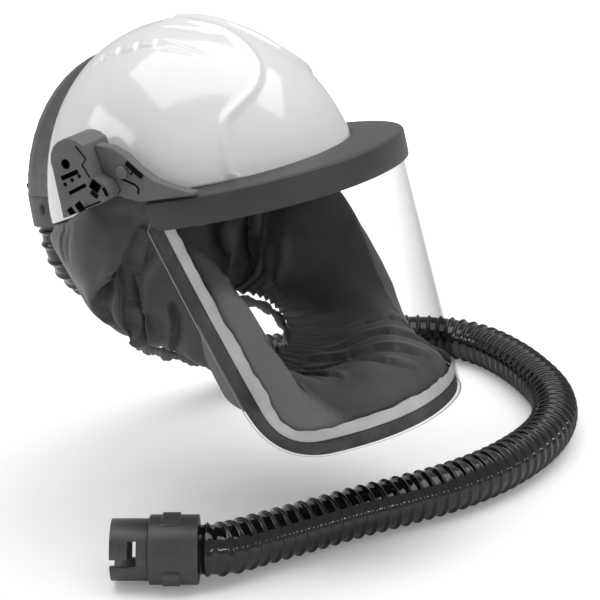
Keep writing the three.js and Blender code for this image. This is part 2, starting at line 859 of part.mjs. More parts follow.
function makeHood() {
  const half = 34;
  const steps = 9;
  const rows = [];
  for (let step = 0; step <= steps; step += 1) {
    const v = step / steps;
    const row = [];
    for (let i = 0; i <= half; i += 1) row.push(hoodPoint(-1, i / half, v));
    for (let i = half - 1; i > 0; i -= 1) row.push(hoodPoint(1, i / half, v));
    rows.push(row);
  }
  return wallBetween(rows, thickened(rows, clothWall), true);
}

// Rows moved inwards along the sheet's own normals by the wall
function thickened(rows, wall) {
  const count = rows[0].length;
  return rows.map((row, r) => row.map((point, i) => {
    const before = row[(i + count - 1) % count];
    const after = row[(i + 1) % count];
    const above = rows[Math.max(r - 1, 0)][i];
    const below = rows[Math.min(r + 1, rows.length - 1)][i];
    const around = after.clone().sub(before);
    const down = below.clone().sub(above);
    const normal = around.cross(down).normalize();
    return point.clone().addScaledVector(normal, wall);
  }));
}

// Plain strips behind the visor's edge, one to a side
function makeStrip(side) {
  const [from, to] = side < 0 ? [stripReach[0] / 2, stripReach[1] / 2] : [1 - stripReach[1] / 2, 1 - stripReach[0] / 2];
  const inset = clothInset + clothWall + stripSetIn;
  return edgeStrip(stripLap - stripWidth, stripLap, inset, inset + stripWall, 18, from, to);
}

// Connector, lying on the floor: a collar on the hose's end, then a spigot with bayonet slots
const connectorStart = new THREE.Vector3(-136.6, -63, floorLevel + collarRadius);
const connectorAxis = new THREE.Vector3(-0.438, 0.899, 0).normalize();

function connectorAt(distance) {
  return connectorStart.clone().addScaledVector(connectorAxis, distance);
}

function boxAlong(distance, turn, radius, size) {
  const box = stripped(new THREE.BoxGeometry(size[0], size[1], size[2]));
  const up = new THREE.Vector3(0, 0, 1).applyAxisAngle(connectorAxis, turn);
  const across = connectorAxis.clone().cross(up);
  box.applyMatrix4(new THREE.Matrix4().makeBasis(connectorAxis, across, up));
  const centre = connectorAt(distance).addScaledVector(up, radius);
  box.translate(centre.x, centre.y, centre.z);
  return outward(mergeVertices(box, 1e-4));
}

function makeCollar() {
  const body = tubeAlong(connectorAt(gap), connectorAt(collarLength), collarRadius, collarBore, 24);
  const tabs = [];
  for (let i = 0; i < tabCount; i += 1) {
    const turn = (i / tabCount) * 2 * Math.PI;
    tabs.push(boxAlong(collarLength * 0.55, turn, collarRadius - 1, [tabLength, tabWidth, 2 * tabHeight + 1]));
  }
  return join(body, tabs);
}

function makeSpigot() {
  const start = collarLength + gap;
  const end = start + spigotLength;
  const body = tubeAlong(connectorAt(start), connectorAt(end), spigotRadius, spigotBore, 24);
  const tools = [];
  for (const turn of [rad(90), rad(270)]) {
    const reach = spigotRadius;
    const entry = [bayonetDepth * 2, bayonetSlot, 14];
    tools.push(boxAlong(end, turn, reach, entry));
    const swing = turn + bayonetTurn / 2 / spigotRadius;
    tools.push(boxAlong(end - bayonetDepth + bayonetSlot / 2, swing, reach, [bayonetSlot, bayonetTurn + bayonetSlot, 14]));
  }
  return cut(body, tools);
}

// Hose route, chosen by hand: from the outlet down to the floor, round behind on the wearer's left,
// forward, and back across the front to the connector
const hoseRoute = [
  [1, 132.5, -52],
  [7, 129, -66],
  [21, 125, -81],
  [46, 120, -101],
  [76, 114, -121],
  [107, 107, -144],
  [138, 99, -170],
  [171, 89, -196],
  [210, 74, -213],
  [258, 44, -220],
  [304, 14, -220],
  [336, -22, -220],
  [351, -62, -220],
  [346, -100, -220],
  [327, -134, -220],
  [297, -168, -220],
  [258, -199, -220],
  [213, -217, -220],
  [163, -221, -220],
  [101, -209, -220],
  [49, -186, -220],
  [9, -160, -220],
  [-28, -134, -220],
  [-65, -110, -220],
  [-98, -90, -219],
  [-123, -77, -217],
];

function hoseCurve() {
  const start = outletEnd.clone().addScaledVector(outletAxis, gap);
  const end = connectorStart.clone();
  const before = end.clone().addScaledVector(connectorAxis, -6);
  const points = hoseRoute.map(([x, y, z]) => new THREE.Vector3(x, y, z));
  const leave = start.clone().addScaledVector(outletAxis, 8);
  return new THREE.CatmullRomCurve3([start, leave, ...points, before, end], false, 'centripetal');
}

function makeHose() {
  const shape = new THREE.Shape(circlePoints(hoseRadius, 10));
  shape.holes.push(new THREE.Path(circlePoints(hoseBore, 8)));
  const curve = hoseCurve();
  const geometry = stripped(new THREE.ExtrudeGeometry(shape, {
    steps: 52,
    bevelEnabled: false,
    extrudePath: curve,
  }));
  return outward(mergeVertices(geometry, 1e-4));
}

const finishes = {
  shell: { color: 0xe9e9e9, roughness: 0.12, metalness: 0 },
  grey: { color: 0x4a4a4a, roughness: 0.6, metalness: 0 },
  dark: { color: 0x2b2b2b, roughness: 0.7, metalness: 0 },
  clear: { color: 0xf4f6f7, roughness: 0.03, metalness: 0, transparent: true, opacity: 0.25 },
  tape: { color: 0xbdbdbd, roughness: 0.6, metalness: 0 },
  cloth: { color: 0x2a2a2c, roughness: 0.85, metalness: 0 },
  hose: { color: 0x101010, roughness: 0.2, metalness: 0 },
};

const group = new THREE.Group();

function addPart(name, geometry, finish) {
  const mesh = new THREE.Mesh(geometry, new THREE.MeshStandardMaterial(finishes[finish]));
  mesh.name = name;
  group.add(mesh);
}

const cutter = crownCutter();
const duct = makeDuct(cutter);
addPart('helmet_shell', makeShell(), 'shell');
addPart('rear_duct', duct, 'grey');
addPart('duct_outlet', makeOutlet(cutter), 'grey');
addPart('outlet_button', makeButton(), 'dark');
for (const [name, side] of Object.entries(sides)) {
  addPart(`pivot_block_${name}`, makeBlock(side, cutter), 'grey');
  addPart(`visor_arm_${name}`, makeArm(side, cutter), 'grey');
  addPart(`arm_boss_${name}`, makeBoss(side), 'grey');
  addPart(`arm_pad_${name}`, makePad(side), 'dark');
  addPart(`chin_strip_${name}`, makeStrip(side), 'cloth');
}
addPart('brow_frame', makeBrow(cutter), 'dark');
addPart('visor', makeVisor(), 'clear');
addPart('visor_edge_band', makeBand(), 'dark');
addPart('visor_trim', makeTrim(), 'tape');
addPart('hood', makeHood(), 'cloth');
addPart('neck_hem', makeHem(), 'cloth');
addPart('hose', makeHose(), 'hose');
addPart('connector_collar', makeCollar(), 'grey');
addPart('connector_spigot', makeSpigot(), 'grey');

export default group;
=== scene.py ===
import math
import bpy
import numpy as np
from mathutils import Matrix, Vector


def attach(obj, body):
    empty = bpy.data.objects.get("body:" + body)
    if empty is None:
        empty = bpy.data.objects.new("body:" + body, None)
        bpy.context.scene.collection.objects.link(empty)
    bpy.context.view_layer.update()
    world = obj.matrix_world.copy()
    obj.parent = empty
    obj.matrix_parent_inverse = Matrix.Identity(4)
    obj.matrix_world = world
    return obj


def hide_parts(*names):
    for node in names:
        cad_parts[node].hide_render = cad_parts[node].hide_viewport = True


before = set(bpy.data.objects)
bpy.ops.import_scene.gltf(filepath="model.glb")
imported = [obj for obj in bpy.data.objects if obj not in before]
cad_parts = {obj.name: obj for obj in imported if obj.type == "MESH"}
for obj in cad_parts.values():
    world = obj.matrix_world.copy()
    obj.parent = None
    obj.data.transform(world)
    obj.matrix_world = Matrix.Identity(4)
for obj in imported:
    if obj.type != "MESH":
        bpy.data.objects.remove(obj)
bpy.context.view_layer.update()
mm = 0.001
scene = bpy.context.scene

# Sizes are in millimetres, in the part's own frame: +X to the wearer's left, -Y forward, +Z up.


def placeNew(name, data):
    thing = bpy.data.objects.new(name, data)
    scene.collection.objects.link(thing)
    return thing


# Camera: seen from the wearer's right front, a little above
cameraSetup = {
    "place": (-1.0760, -0.6018, 0.3707), "tip": 70.0, "swing": -64.0, "lens": 100.8, "sensor": 36.0,
    "far": 50,
}


def makeCamera():
    data = bpy.data.cameras.new("camera")
    data.lens = cameraSetup["lens"]
    data.sensor_width = cameraSetup["sensor"]
    data.clip_end = cameraSetup["far"]
    scene.camera = placeNew("camera", data)
    scene.camera.location = cameraSetup["place"]
    scene.camera.rotation_euler = (math.radians(cameraSetup["tip"]), 0, math.radians(cameraSetup["swing"]))


makeCamera()


def together(*parts):
    # arrays or numbers side by side along a new last axis
    return np.stack(np.broadcast_arrays(*parts), -1)


# Mesh helpers: a surface is an array of points with rows and columns
def gridNumbers(rows, columns, closed):
    # the points' numbers, with the first column again after the last one when closed
    number = np.arange(rows * columns).reshape(rows, columns)
    return np.concatenate([number, number[:, :1]], 1) if closed else number


def gridFaces(number):
    return together(number[:-1, :-1], number[:-1, 1:], number[1:, 1:], number[1:, :-1]).reshape(-1, 4)


def makeMesh(name, points, quads, triangles=(), uv=None, smooth=True):
    # points in millimetres; quads and triangles hold point numbers; uv holds one pair for each point
    mesh = bpy.data.meshes.new(name)
    points = np.reshape(points, (-1, 3)) * mm
    mesh.from_pydata(points.tolist(), [], [*np.asarray(quads).tolist(), *np.asarray(triangles).tolist()])
    if uv is not None:
        corners = np.empty(len(mesh.loops), np.int32)
        mesh.loops.foreach_get("vertex_index", corners)
        mesh.uv_layers.new(name="cloth").data.foreach_set("uv", np.reshape(uv, (-1, 2))[corners].ravel())
    mesh.polygons.foreach_set("use_smooth", np.full(len(mesh.polygons), smooth))
    mesh.validate()
    return placeNew(name, mesh)


def facesOut(points, quads):
    # true when the sum over faces of the corners' triple products is positive
    a, b, c, d = (points[quads[:, i]] for i in range(4))
    return (np.einsum("ij,ij->i", a, np.cross(b, c)) + np.einsum("ij,ij->i", a, np.cross(c, d))).sum() >= 0


def wallMesh(name, outer, inner, closed=False, uv=None, pole=False):
    # closed wall between two sheets of the same rows and columns, with a rim along each open edge
    rows, columns = outer.shape[:2]
    count = rows * columns
    points = np.concatenate([outer.reshape(-1, 3), inner.reshape(-1, 3)])
    number = gridNumbers(rows, columns, closed)
    sheet = gridFaces(number)
    edges = [number[0]] + ([] if pole else [number[-1, ::-1]])
    edges += [] if closed else [number[::-1, 0], number[:, -1]]
    rims = [together(edge[1:], edge[:-1], edge[:-1] + count, edge[1:] + count) for edge in edges]
    quads = np.concatenate([sheet, sheet[:, ::-1] + count, *rims])
    quads = quads if facesOut(points, quads) else quads[:, ::-1]
    return makeMesh(name, points, quads, uv=None if uv is None else np.concatenate([uv, uv]))


def tubeFaces(rings):
    # points, quads and end fans of a tube through rings of points, facing outwards
    points = rings.reshape(-1, 3)
    number = gridNumbers(*rings.shape[:2], True)
    quads = gridFaces(number)
    first, last = number[0], number[-1]
    ends = together(first[1:], first[:-1], len(points)), together(last[:-1], last[1:], len(points) + 1)
    fans = np.concatenate(ends)
    if not facesOut(points, quads):
        quads, fans = quads[:, ::-1], fans[:, ::-1]
    return np.concatenate([points, rings[0].mean(0)[None], rings[-1].mean(0)[None]]), quads, fans


def unit(vectors):
    return vectors / np.maximum(np.linalg.norm(vectors, axis=-1, keepdims=True), 1e-9)


def outwardNormals(sheet):
    # unit cross product of the differences along the columns, which close up, and along the rows
    across = unit(np.cross(np.roll(sheet, -1, 1) - np.roll(sheet, 1, 1), np.gradient(sheet, axis=0)))
    return across * np.sign((across * sheet)[..., :2].sum())


def fullTurn(count):
    return np.arange(count) / count * 2 * math.pi


def bisected(low, high, steps, test):
    # where the test, which holds at the low end, stops holding
    for _ in range(steps):
        middle = (low + high) / 2
        holds = test(middle)
        low, high = np.where(holds, middle, low), np.where(holds, high, middle)
    return low


def smoothStep(value, low, high):
    share = np.clip((value - low) / (high - low), 0, 1)
    return share * share * (3 - 2 * share)


def hillSum(u, v, seed, count, scaleU, scaleV):
    # sum of sine waves of random direction and phase, between about -1 and 1
    draw = np.random.default_rng(seed)
    total = np.zeros(np.broadcast(u, v).shape)
    for i in range(count):
        waveU, waveV, phase = draw.normal(0, scaleU), draw.normal(0, scaleV), draw.uniform(0, 2 * math.pi)
        total = total + np.sin(waveU * u + waveV * v + phase)
    return total / math.sqrt(count)


def hermite(b, c, slopeB, slopeC, s):
    line = (2 * s**3 - 3 * s**2 + 1) * b + (s**3 - 2 * s**2 + s) * slopeB
    return line + (3 * s**2 - 2 * s**3) * c + (s**3 - s**2) * slopeC


def chordal(a, b, c, d, s):
    # Catmull-Rom curve from b to c, with knots spaced by the square root of the points' distance
    pairs = ((a, b), (b, c), (c, d))
    stepA, stepB, stepC = (np.sqrt(np.linalg.norm(q - p, axis=-1, keepdims=True)) for p, q in pairs)
    slopeB = ((b - a) / stepA - (c - a) / (stepA + stepB) + (c - b) / stepB) * stepB
    slopeC = ((c - b) / stepB - (d - b) / (stepB + stepC) + (d - c) / stepC) * stepB
    return hermite(b, c, slopeB, slopeC, s)


def chordalPath(points, perSegment=24):
    points = np.asarray(points, float)
    ends = np.concatenate([[2 * points[0] - points[1]], points, [2 * points[-1] - points[-2]]])
    s = (np.arange(perSegment) / perSegment)[:, None, None]
    line = chordal(ends[:-3], ends[1:-2], ends[2:-1], ends[3:], s)
    return np.concatenate([line.transpose(1, 0, 2).reshape(-1, points.shape[1]), points[-1:]])


def runLengths(points):
    return np.concatenate([[0], np.cumsum(np.linalg.norm(np.diff(points, axis=0), axis=1))])


def evenly(path, count):
    # the path's points again, at equal lengths along it
    length = runLengths(path)
    wanted = np.linspace(0, length[-1], count)
    return np.stack([np.interp(wanted, length, path[:, i]) for i in range(path.shape[1])], -1), length[-1]


# Materials
def setInputs(tree, node, inputs):
    # each input gets a value or another node's output; _ stands for a space, and n2 for the input numbered 2
    for key, value in inputs.items():
        socket = node.inputs[int(key[1:]) if key[1:].isdigit() else key.replace("_", " ")]
        if isinstance(value, bpy.types.NodeSocket):
            tree.links.new(value, socket)
        else:
            socket.default_value = value


def addNode(tree, kind, settings=None, **inputs):
    node = tree.nodes.new("ShaderNode" + kind)
    for key, value in (settings or {}).items():
        setattr(node, key, value)
    setInputs(tree, node, inputs)
    return node


def mathNode(tree, operation, a, b=0.0, clamp=False):
    return addNode(tree, "Math", {"operation": operation, "use_clamp": clamp}, n0=a, n1=b).outputs[0]


def rangeNode(tree, value, fromLow, fromHigh, toLow=0.0, toHigh=1.0, soft=False):
    kind = {"interpolation_type": "SMOOTHSTEP" if soft else "LINEAR"}
    inputs = {"From Min": fromLow, "From Max": fromHigh, "To Min": toLow, "To Max": toHigh}
    return addNode(tree, "MapRange", kind, Value=value, **inputs).outputs[0]


def colourMix(tree, share, first, second):
    return addNode(tree, "Mix", {"data_type": "RGBA"}, n0=share, n6=first, n7=second).outputs[2]


def shaderGroup(name, inputs, outputs):
    # an empty node group; an input without a value is a vector
    tree = bpy.data.node_groups.new(name, "ShaderNodeTree")
    for key, value in inputs.items():
        kind = "NodeSocketVector" if value is None else "NodeSocketFloat"
        socket = tree.interface.new_socket(key, in_out="INPUT", socket_type=kind)
        if value is not None:
            socket.default_value = value
    for key in outputs:
        tree.interface.new_socket(key, in_out="OUTPUT", socket_type="NodeSocketFloat")
    return tree, tree.nodes.new("NodeGroupInput").outputs, tree.nodes.new("NodeGroupOutput")


def makeGrainGroup():
    # fine moulded or worn grain: two scales of noise as a height and as a mask
    tree, source, sink = shaderGroup(
        "moulded grain", {"Place": None, "Scale": 900.0, "Blotch": 60.0}, ("Height", "Mask")
    )
    fine = addNode(tree, "TexNoise", Vector=source["Place"], Scale=source["Scale"], Detail=3)
    broad = addNode(tree, "TexNoise", Vector=source["Place"], Scale=source["Blotch"], Detail=4)
    mask = mathNode(tree, "SUBTRACT", broad.outputs["Fac"], 0.5)
    setInputs(tree, sink, {"Height": fine.outputs["Fac"], "Mask": mask})
    return tree


def makeWeaveGroup():
    # plain weave from two crossed waves on the piece's own map, in metres
    tree, source, sink = shaderGroup("plain weave", {"Place": None, "Threads": 1400.0}, ("Height",))
    apart = addNode(tree, "SeparateXYZ", n0=source["Place"]).outputs
    turns = mathNode(tree, "MULTIPLY", source["Threads"], math.pi)
    warp, weft = (mathNode(tree, "SINE", mathNode(tree, "MULTIPLY", apart[i], turns)) for i in range(2))
    setInputs(tree, sink, {"Height": mathNode(tree, "ADD", mathNode(tree, "MULTIPLY", warp, weft), 0.5)})
    return tree


def makeWearGroup():
    # edge wear: pale where the surface is sharply convex, broken up by noise
    tree, source, sink = shaderGroup("edge wear", {"Place": None, "Amount": 0.3}, ("Mask",))
    convex = mathNode(tree, "SUBTRACT", addNode(tree, "NewGeometry").outputs["Pointiness"], 0.52)
    noise = addNode(tree, "TexNoise", Vector=source["Place"], Scale=220).outputs["Fac"]
    broken = mathNode(tree, "MULTIPLY", mathNode(tree, "MULTIPLY", convex, 9, True), noise)
    setInputs(tree, sink, {"Mask": mathNode(tree, "MULTIPLY", broken, source["Amount"], True)})
    return tree


grainGroup, weaveGroup, wearGroup = makeGrainGroup(), makeWeaveGroup(), makeWearGroup()
surfaceSetup = {
    "grainScale": 900.0, "grainDepth": 0.0003, "weaveDepth": 0.0004, "patchGain": 2.4, "roughGain": 0.12,
    "wornGain": 3, "wornLift": 0.08, "paintedLightBlend": 0.8,
}


def newMaterial(name):
    material = bpy.data.materials.new(name)
    material.use_nodes = True
    return material, material.node_tree, material.node_tree.nodes["Principled BSDF"]


def makeMaterial(name, color, roughness, gloss, patch, grain=None, wear=0.0, weave=None, zone=None, **sockets):
    # a Principled surface whose colour and roughness wander with broad noise, with grain or weave as bump
    setup = surfaceSetup
    material, tree, shader = newMaterial(name)
    setInputs(tree, shader, {"Specular IOR Level": gloss, **sockets})
    place = addNode(tree, "TexCoord").outputs["Object"]
    scale = grain[0] if grain else setup["grainScale"]
    grainNode = addNode(tree, "Group", {"node_tree": grainGroup}, Place=place, Scale=scale)
    mask = grainNode.outputs["Mask"]
    low, high = (tuple(min(1, part * share) for part in color) + (1,) for share in (1 - patch, 1 + patch))
    level = mathNode(tree, "ADD", mathNode(tree, "MULTIPLY", mask, setup["patchGain"]), 0.5, True)
    surface = colourMix(tree, level, low, high)
    if wear:
        worn = addNode(tree, "Group", {"node_tree": wearGroup}, Place=place, Amount=wear).outputs[0]
        pale = tuple(min(1, part * setup["wornGain"] + setup["wornLift"]) for part in color) + (1,)
        surface = colourMix(tree, worn, surface, pale)
    if zone:
        # second, lighter colour painted as light where the piece's own attribute, a distance in mm, is above
        # nought
        away = addNode(tree, "Attribute", {"attribute_name": zone[0]}).outputs["Fac"]
        half = setup["paintedLightBlend"]
        share = rangeNode(tree, away, -half, half)
        surface = colourMix(tree, share, surface, zone[1] + (1,))
    rough = mathNode(tree, "ADD", mathNode(tree, "MULTIPLY", mask, setup["roughGain"]), roughness, True)
    setInputs(tree, shader, {"Base Color": surface, "Roughness": rough})
    if grain or weave:
        height, depth = grainNode.outputs["Height"], setup["grainDepth"]
        if weave:
            spot = addNode(tree, "UVMap", {"uv_map": "cloth"}).outputs[0]
            height = addNode(tree, "Group", {"node_tree": weaveGroup}, Place=spot, Threads=weave[0]).outputs[0]
            depth = setup["weaveDepth"]
        bump = addNode(tree, "Bump", Height=height, Strength=(weave or grain)[1], Distance=depth)
        setInputs(tree, shader, {"Normal": bump.outputs[0]})
    return material


clearSetup = {
    "glass": {"Base Color": (0.985, 0.99, 0.99, 1), "Roughness": 0.0, "IOR": 1.1, "Transmission Weight": 1.0},
    "tint": 0.985, "greyTint": 0.78, "greyFrom": 0.30, "greyTo": 0.80, "sideFrom": 0.55, "sideTo": 0.75,
}


def makeClear(name):
    # clear sheet: faint glass in front, plainly open on the flat sides and at slanting views, which grow
    # greyer towards grazing, and open to shadow and diffuse rays
    setup = clearSetup
    material, tree, shader = newMaterial(name)
    setInputs(tree, shader, setup["glass"])
    normal = addNode(tree, "NewGeometry").outputs["Normal"]
    across = mathNode(tree, "ABSOLUTE", addNode(tree, "SeparateXYZ", n0=normal).outputs[0])
    aside = rangeNode(tree, across, setup["sideFrom"], setup["sideTo"], soft=True)
    facing = addNode(tree, "LayerWeight").outputs["Facing"]
    grey = rangeNode(tree, facing, setup["greyFrom"], setup["greyTo"])
    tints = ((setup[key],) * 3 + (1,) for key in ("tint", "greyTint"))
    clear, dim = (addNode(tree, "BsdfTransparent", n0=tint).outputs[0] for tint in tints)
    veil = addNode(tree, "MixShader", n0=grey, n1=clear, n2=dim).outputs[0]
    rays = addNode(tree, "LightPath").outputs
    through = mathNode(tree, "MAXIMUM", rays["Is Shadow Ray"], rays["Is Diffuse Ray"])
    for other in (aside, mathNode(tree, "GREATER_THAN", facing, setup["greyFrom"])):
        through = mathNode(tree, "MAXIMUM", through, other)
    mix = addNode(tree, "MixShader", n0=through, n1=shader.outputs[0], n2=veil)
    setInputs(tree, tree.nodes["Material Output"], {"Surface": mix.outputs[0]})
    return material


# Slot, colour, roughness, gloss, how far the colour wanders, and what else the finish has.
# Grain and weave are (how many to the metre, strength).
finishTable = {
    "shellWhite": ("shell_white", (0.67, 0.67, 0.675), 0.15, 0.6, 0.015, {
        "Coat_Weight": 0.6, "Coat_Roughness": 0.06,
    }),
    "plasticGrey": ("plastic_grey", (0.105, 0.105, 0.107), 0.48, 0.35, 0.10, {
        "grain": (1500, 0.22), "wear": 0.3,
    }),
    "plasticDark": ("plastic_dark", (0.040, 0.040, 0.041), 0.36, 0.4, 0.10, {
        "grain": (1800, 0.18), "wear": 0.25,
    }),
    # black: the arm pads' own colour, and painted shade in the block pockets and the temple marks
    "plasticBlack": ("plastic_dark", (0.004, 0.004, 0.0045), 0.8, 0.05, 0.2, {}),
    "browDark": ("plastic_dark", (0.038, 0.038, 0.039), 0.42, 0.35, 0.08, {"grain": (1000, 0.7), "wear": 0.2}),
    # the dark cloth's second colour is painted light: lighter where the inner sheet lies outside the crease
    # under the chin
    "clothDark": ("cloth_dark", (0.056, 0.056, 0.058), 0.55, 0.35, 0.14, {
        "weave": (1500, 0.04), "zone": ("panel", (0.15, 0.15, 0.152)),
        "Sheen_Weight": 0.2, "Sheen_Roughness": 0.4,
    }),
    # a lighter copy of the dark cloth: painted light
    "clothLit": ("cloth_dark", (0.15, 0.15, 0.152), 0.55, 0.35, 0.10, {"weave": (1500, 0.04)}),
    # pale cut edge of the clear sheet: a painted highlight
    "rimPale": ("visor_clear", (0.62, 0.63, 0.64), 0.25, 0.5, 0.05, {}),
    "edgeDark": ("edge_dark", (0.070, 0.070, 0.071), 0.8, 0.2, 0.35, {"weave": (900, 0.03)}),
    "trimPale": ("trim_pale", (0.50, 0.50, 0.505), 0.60, 0.5, 0.12, {
        "weave": (1100, 0.08), "Sheen_Weight": 0.2,
    }),
    "hoseBlack": ("hose_black", (0.003, 0.003, 0.0035), 0.10, 0.5, 0.2, {
        "Coat_Weight": 0.12, "Coat_Roughness": 0.02,
    }),
}
slots = {name: row[0] for name, row in finishTable.items()}
finishes = {name: makeMaterial(name, *row[1:5], **row[5]) for name, row in finishTable.items()}
slots["visorClear"] = "visor_clear"
finishes["visorClear"] = makeClear("visorClear")


def finishPiece(piece, finish, *nodes):
    # gives a piece its material and body, and hides the nodes that it stands for
    piece.data.materials.clear()
    piece.data.materials.append(finishes[finish])
    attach(piece, "root")
    if nodes:
        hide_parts(*nodes)
    return piece


# Hose: route points as in the part's source, straight out of the outlet, down to the floor and round
hoseSetup = {
    "radius": 20.0, "ribPitch": 10.6, "ribHeight": 2.1, "ribSpread": 0.13, "perRib": 14, "around": 48,
    "exitLean": 9.0, "gap": 0.4, "outletStart": (0.0, 141.0, 2.0), "outletLength": 33.0, "straightOut": 8,
    "straightIn": 6, "hollow": 0.10, "hollowAt": 0.24, "hollowSpread": 0.05,
}
hoseRoute = [
    (1, 132.5, -52), (7, 129, -66), (21, 125, -81), (46, 120, -101), (76, 114, -121), (107, 107, -144),
    (138, 99, -170), (171, 89, -196), (210, 74, -213), (258, 44, -220), (304, 14, -220), (336, -22, -220),
    (351, -62, -220), (346, -100, -220), (327, -134, -220), (297, -168, -220), (258, -199, -220),
    (213, -217, -220), (163, -221, -220), (101, -209, -220), (49, -186, -220), (9, -160, -220),
    (-28, -134, -220), (-65, -110, -220), (-98, -90, -219), (-123, -77, -217),
]
connectorStart = np.array((-136.6, -63.0, -214.6))
connectorAxis = unit(np.array((-0.438, 0.899, 0.0)))


def hosePath():
    setup = hoseSetup
    lean = math.radians(setup["exitLean"])
    axis = np.array([0, -math.sin(lean), -math.cos(lean)])
    start = np.array(setup["outletStart"]) + axis * setup["outletLength"] + axis * setup["gap"]
    joined = connectorStart - connectorAxis * setup["straightIn"]
    return chordalPath([start, start + axis * setup["straightOut"], *hoseRoute, joined, connectorStart])


def carried(path):
    # two unit vectors across the path at each point, carried along it without twist
    tangent = unit(np.gradient(path, axis=0))
    across = np.zeros_like(path)
    side = np.cross(tangent[0], (1.0, 0.2, 0.1))
    for i, t in enumerate(tangent):
        side = side - t * (side @ t)
        side = side / np.linalg.norm(side)
        across[i] = side
    return across, np.cross(tangent, across)


def makeHose():
    # the radius swells by a narrow bell at each pitch, with a slight hollow on both sides of it
    setup = hoseSetup
    line = hosePath()
    length = evenly(line, 2)[1]
    ribs = round(length / setup["ribPitch"])
    path, length = evenly(line, ribs * setup["perRib"] + 1)
    across, other = carried(path)
    phase = (np.arange(len(path)) / setup["perRib"]) % 1 - 0.5
    beside = (np.abs(phase) - setup["hollowAt"]) / setup["hollowSpread"]
    bell = np.exp(-((phase / setup["ribSpread"]) ** 2)) - setup["hollow"] * np.exp(-(beside**2))
    radius = setup["radius"] - setup["ribHeight"] * (1 - bell)
    radius[:4] = radius[-4:] = setup["radius"] - setup["ribHeight"]
    turn = fullTurn(setup["around"])
    ring = across[:, None] * np.cos(turn)[None, :, None] + other[:, None] * np.sin(turn)[None, :, None]
    piece = makeMesh("hose_ribbed", *tubeFaces(path[:, None] + ring * radius[:, None, None]))
    finishPiece(piece, "hoseBlack", "hose")
    return piece, length, path


hosePiece, hoseLength, hoseLine = makeHose()
print("hose made, length mm", round(hoseLength, 1))


# Crown: turn runs from the front round to the back, rise from the base to the top
crownSetup = {
    "halfWidth": 105.8, "front": 121.9, "back": 122.6, "height": 143.6, "wall": 2.6, "planPower": 2.13,
    "risePower": 2.04, "tilt": 19.9, "rimFront": 14.0, "rimSide": 30.0, "rimBack": 21.0, "turns": 300,
    "steps": 130, "topShare": 0.9985, "spacing": 1.1, "lift": 0.25, "rimRoll": 0.5, "rimRollOver": 0.022,
    "reliefFrom": 0.02,
}
maskSetup = {
    "tilt": 14.1, "forward": 15.0, "height": 35.0, "halfWidth": 119.0, "reach": 137.0, "power": 2.15,
    "browHeight": 21.0, "browWall": 3.2, "browRound": 3.0, "gap": 0.4, "sheetGap": 0.9,
}


def signedPower(value, power):
    return np.sign(value) * np.abs(value) ** power


def turnedX(points, degrees, shift=(0, 0, 0)):
    # rotation about X that raises the front, then a shift
    c, s = math.cos(math.radians(degrees)), math.sin(math.radians(degrees))
    x, y, z = points[..., 0], points[..., 1], points[..., 2]
    return together(x, c * y + s * z, c * z - s * y) + np.array(shift)


def fromCrown(points):
    return turnedX(points, crownSetup["tilt"])


def toCrown(points):
    return turnedX(points, -crownSetup["tilt"])


def fromMask(points):
    return turnedX(points, maskSetup["tilt"], (0, -maskSetup["forward"], maskSetup["height"]))


def crownPoint(turn, rise, offset=0.0):
    # point of the dome, grown by the offset
    s = crownSetup
    swing = np.cos(rise) ** (2 / s["risePower"])
    z = np.sin(rise) ** (2 / s["risePower"]) * (s["height"] + offset)
    reach = np.where(np.cos(turn) > 0, s["front"], s["back"]) + offset
    x = (s["halfWidth"] + offset) * signedPower(np.sin(turn), 2 / s["planPower"]) * swing
    y = -reach * signedPower(np.cos(turn), 2 / s["planPower"]) * swing
    return together(x, y, z)


def riseAt(height):
    return np.arcsin((height / crownSetup["height"]) ** (crownSetup["risePower"] / 2))


def rimHeight(turn):
    ends = np.where(np.cos(turn) > 0, crownSetup["rimFront"], crownSetup["rimBack"])
    return crownSetup["rimSide"] + (ends - crownSetup["rimSide"]) * np.cos(turn) ** 2


def insideCrown(points, offset=0.0):
    # below 1 inside the crown's outer surface grown by the offset
    s = crownSetup
    p = toCrown(points)
    reach = np.where(p[..., 1] < 0, s["front"], s["back"]) + offset
    across = np.abs(p[..., 0] / (s["halfWidth"] + offset)) ** s["planPower"]
    plan = across + np.abs(p[..., 1] / reach) ** s["planPower"]
    across = plan ** (s["risePower"] / s["planPower"])
    return across + (np.maximum(p[..., 2], 0) / (s["height"] + offset)) ** s["risePower"]


# Relief of the crown on each side: raised line, grooves (line, width, depth) and pads, as turn from the front
# and rise from the base in degrees
ribLine = [
    (-24, 79), (-12, 66), (-8, 59), (-10, 49), (-14, 41), (-20, 36), (-28, 32), (-37, 29), (-45, 26),
    (-48, 22), (-50, 17), (-51, 12), (-51, 7),
]
grooveLines = [
    ([(-52, 76), (-28, 65), (-16, 57)], 3.4, 1.5), ([(-54, 64), (-44, 57), (-36, 49)], 1.7, 1.4),
    ([(-61, 60), (-50, 56), (-42, 51)], 1.5, 1.2),
]
padSpots = [(-67, 65), (-84, 66), (-100, 66), (-116, 64)]
reliefSizes = {
    "ribHigh": 2.5, "ribWide": 5.6, "ribThins": 0.30, "ribLowers": 0.15, "padHigh": 1.7, "padLong": 6.4,
    "padWide": 4.4, "padEdge": 1.2, "padAbove": 60,
}


def crownLine(line, side, perSegment=12):
    turn, rise = (np.radians(np.array(column, float)) for column in zip(*line))
    path = crownPoint(turn, rise)
    path[:, 0] *= -side
    return chordalPath(path, perSegment)


